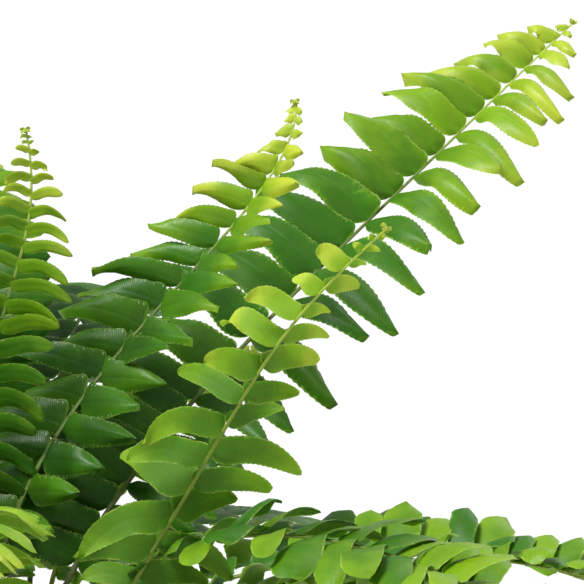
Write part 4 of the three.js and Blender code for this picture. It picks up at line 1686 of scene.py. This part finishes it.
@dataclass
class MixBed:
    """The bed of potting mix with bark, perlite and moss on it."""

    pot: ClayPot
    rim_drop: float = 18.0
    crown: float = 3.0
    lump: float = 0.6
    gap: float = 0.4
    sides: int = 120
    rings: int = 40

    grain_around = 8
    grain_down = 5
    grain_swell = 0.22
    grain_tilt = 0.9

    @property
    def edge(self) -> float:
        """Height of the mix where it meets the clay."""
        return self.pot.height - self.rim_drop

    def surface(self, x: Array, y: Array) -> Array:
        """Height of the mix: a low dome of crown * (1 - share^2) with waves of two lengths and fine crumbs.

        Args:
            x: Places to the right.
            y: Places toward the back.

        Returns:
            The heights there.
        """
        share = np.minimum(1.0, np.hypot(x, y) / self.pot.inside(self.edge))
        waves = np.sin(0.31 * x + 1.3) * np.cos(0.27 * y - 0.4) + 0.5 * np.sin(0.6 * (x - y))
        crumbs = np.sin(1.7 * x + 0.8 * np.sin(0.9 * y)) * np.sin(1.9 * y + 0.7 * np.sin(1.1 * x))
        fade = 1.0 - share**8
        return self.edge + self.crown * (1.0 - share**2) + (self.lump * waves + 0.35 * crumbs) * fade

    def _bed(self) -> Shell:
        """The closed plug: the lumpy top, the wall just inside the clay, and the underside.

        Returns:
            The closed shell.
        """
        top = np.linspace(1.5, self.pot.inside(self.edge) - 2 * self.gap, self.rings)
        low = self.pot.floor + self.gap
        walls = np.array([self.edge - 2.0, 70.0, low + 6.0, low])
        wall_radii = np.append(self.pot.inside(walls[:-1]) - 2 * self.gap, self.pot.inside(low) - 6.0)
        radii = np.concatenate([top, wall_radii, [20.0]])
        heights = np.concatenate([np.zeros(1 + self.rings), walls, [low, low]])
        angle = ring_angles(self.sides)
        lump = np.zeros((len(radii), self.sides))
        lump[: self.rings] = self.surface(top[:, None] * np.cos(angle), top[:, None] * np.sin(angle))
        return turned_shell(radii, heights, self.sides, lump)

    def _grains(
        self, count: int, seed: int, long: float, thick: float, blocky: float, spread: float, sunk: float
    ) -> Shell:
        """Loose grains on the mix as lumpy superellipsoids.

        A grain's point is the signed power, blocky, of the cosines and sines of its two angles, times its
        three half sizes, with a random swell, turned by a random tilt and heading.

        Args:
            count: Number of grains.
            seed: What the draws start from.
            long: Half length of an average grain.
            thick: Half thickness over half length.
            blocky: Power of the sines: 1 is round and 0.4 nearly a block.
            spread: Largest distance from the middle.
            sunk: Share of the thickness that lies below the surface.

        Returns:
            The grains as one shell.
        """
        chance = np.random.default_rng(seed)
        down, around = self.grain_down, self.grain_around
        lon = ring_angles(around)
        lat = np.linspace(0.0, np.pi, down + 2)[1:-1, None]

        def power(x: Array) -> Array:
            """x to the power blocky with its sign kept."""
            return np.sign(x) * np.abs(x) ** blocky

        def turned(a: Array, b: Array, angle: Array) -> tuple[Array, Array]:
            """Two coordinates turned in their plane, by one angle for each grain."""
            c, s = np.cos(angle)[:, None], np.sin(angle)[:, None]
            return a * c - b * s, a * s + b * c

        level = power(np.sin(lat))
        upright = np.broadcast_to(power(np.cos(lat)), (down, around))
        ring = np.stack([level * power(np.cos(lon)), level * power(np.sin(lon)), upright], -1).reshape(-1, 3)
        model = np.concatenate([ring, [UP, -UP]])
        size = long * (0.6 + 0.8 * chance.random((count, 1)))
        scale = np.concatenate([size, size * (0.4 + 0.5 * chance.random((count, 1))), size * thick], 1)
        swell = 1.0 + self.grain_swell * (chance.random((count, len(model), 1)) - 0.5)
        local = model[None] * scale[:, None] * swell
        turn, tilt = chance.random(count) * 2.0 * np.pi, (chance.random(count) - 0.5) * self.grain_tilt
        x, z = turned(local[..., 0], local[..., 2], tilt)
        x, y = turned(x, local[..., 1], turn)
        distance, way = spread * np.sqrt(chance.random(count)), chance.random(count) * 2.0 * np.pi
        px, py = distance * np.cos(way), distance * np.sin(way)
        pz = self.surface(px, py) + scale[:, 2] * (1.0 - 2.0 * sunk)
        points = np.stack([x + px[:, None], y + py[:, None], z + pz[:, None]], -1).reshape(-1, 3)
        starts = (np.arange(count) * len(model))[:, None, None]
        faces = [Faces((c + starts).reshape(-1, c.shape[1])) for c in poled_faces(down, around)]
        return Shell.soft(points, faces, points[:, :2])

    def build(self, effects: Effects) -> None:
        """Makes the bed and what lies on it.

        Args:
            effects: The shared node groups.
        """
        reach = self.pot.inside(self.edge) - 4.0
        bark = EarthFinish("bark", 0.8, 0.3, srgb(112, 74, 48), srgb(62, 38, 26), 240.0, 1300.0, 0.0005)
        perlite = EarthFinish("perlite", 0.9, 0.3, srgb(226, 222, 212), srgb(188, 182, 168), 500.0, 1500.0, 0.0004)
        moss = EarthFinish("moss", 0.95, 0.2, srgb(86, 118, 36), srgb(44, 72, 22), 420.0, 1800.0, 0.0012)
        # for grains: count, seed, half length, thickness, blockiness, spread and the share that is sunk
        pieces = [
            (self._bed(), "mix_bed", EarthFinish("potting_mix", 0.92, 0.2), Slot.MIX, "potting_mix"),
            (self._grains(260, 11, 3.2, 0.26, 0.5, reach, 0.35), "bark_chips", bark, Slot.MIX, None),
            (self._grains(110, 12, 1.5, 0.8, 0.9, reach, 0.4), "perlite_grains", perlite, Slot.MIX, None),
            (self._grains(90, 13, 4.2, 0.4, 0.9, reach, 0.55), "moss_tufts", moss, Slot.GREEN, None),
        ]
        for shell, name, finish, slot, node in pieces:
            settle(shell.make(name, [finish.build(effects)]), node)


# ---------------------------------------------------------------- studio


@dataclass
class Studio:
    """The camera, the pale floor and soft light.

    A sun is its name, the direction from the plant to it, its strength on a surface that faces it, and its
    width as seen from the plant, in degrees. air is the strength of the white light from all round.
    """

    target: tuple[float, float, float] = (0.130, 0.0, 0.295)
    distance: float = 1.1
    elevation: float = 10.0
    view_width: float = 0.260
    sensor: float = 36.0
    view_depth: float = 200.0
    floor_radius: float = 30.0
    floor_sides: int = 96
    air: float = 0.36

    suns = (("key_sun", (-0.45, -0.35, 0.85), 3.7, 24.0), ("back_sun", (0.5, 0.75, 0.6), 0.7, 40.0))

    def _camera(self) -> None:
        """Looks along +Y and down, at the photograph's angle and width of view."""
        tilt = np.radians(self.elevation)
        data = bpy.data.cameras.new("studio_camera")
        data.sensor_width = self.sensor
        data.lens = self.sensor * self.distance / self.view_width
        data.clip_end = self.view_depth
        camera = bpy.data.objects.new("studio_camera", data)
        camera.location = np.array(self.target) + self.distance * np.array([0.0, -np.cos(tilt), np.sin(tilt)])
        camera.rotation_euler = (np.pi / 2.0 - tilt, 0.0, 0.0)
        bpy.context.scene.collection.objects.link(camera)
        bpy.context.scene.camera = camera

    def _floor(self, effects: Effects) -> None:
        """A flat disc that carries the pot.

        Args:
            effects: The shared node groups.
        """
        angle = ring_angles(self.floor_sides)
        points = np.stack([np.cos(angle), np.sin(angle), np.zeros(self.floor_sides)], -1) * self.floor_radius
        mesh = bpy.data.meshes.new("studio_floor")
        mesh.from_pydata(points.tolist(), [], [list(range(self.floor_sides))])
        mesh.materials.append(FloorFinish("floor_paper", 0.9, 0.1).build(effects))
        floor = bpy.data.objects.new("studio_floor", mesh)
        bpy.context.scene.collection.objects.link(floor)

    def _lights(self) -> None:
        """The broad, soft suns and the white air."""
        for name, way, strength, softness in self.suns:
            data = bpy.data.lights.new(name, "SUN")
            data.energy, data.angle = strength, np.radians(softness)
            lamp = bpy.data.objects.new(name, data)
            lamp.location = np.array(way) * 2.0
            lamp.rotation_euler = (np.arctan2(np.hypot(way[0], way[1]), way[2]), 0.0, np.arctan2(way[0], -way[1]))
            bpy.context.scene.collection.objects.link(lamp)
        world = bpy.data.worlds.new("studio_air")
        world.use_nodes = True
        background = world.node_tree.nodes["Background"]
        background.inputs["Color"].default_value = (1.0, 1.0, 1.0, 1.0)
        background.inputs["Strength"].default_value = self.air
        bpy.context.scene.world = world

    def build(self, effects: Effects) -> None:
        """Sets up the camera, floor and light.

        Args:
            effects: The shared node groups.
        """
        self._camera()
        self._floor(effects)
        self._lights()
        bpy.context.scene.view_settings.view_transform = "Standard"


def main() -> None:
    """Builds the pot, the mix, the fronds and the studio."""
    logging.basicConfig(level=logging.INFO, format="%(name)s: %(message)s")
    effects = Effects()
    pot = ClayPot()
    pot.build(ClayFinish("clay", 0.85, 0.3).build(effects))
    MixBed(pot).build(effects)
    Crown().build(effects)
    Studio().build(effects)
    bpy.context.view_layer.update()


if __name__ == "__main__":
    main()
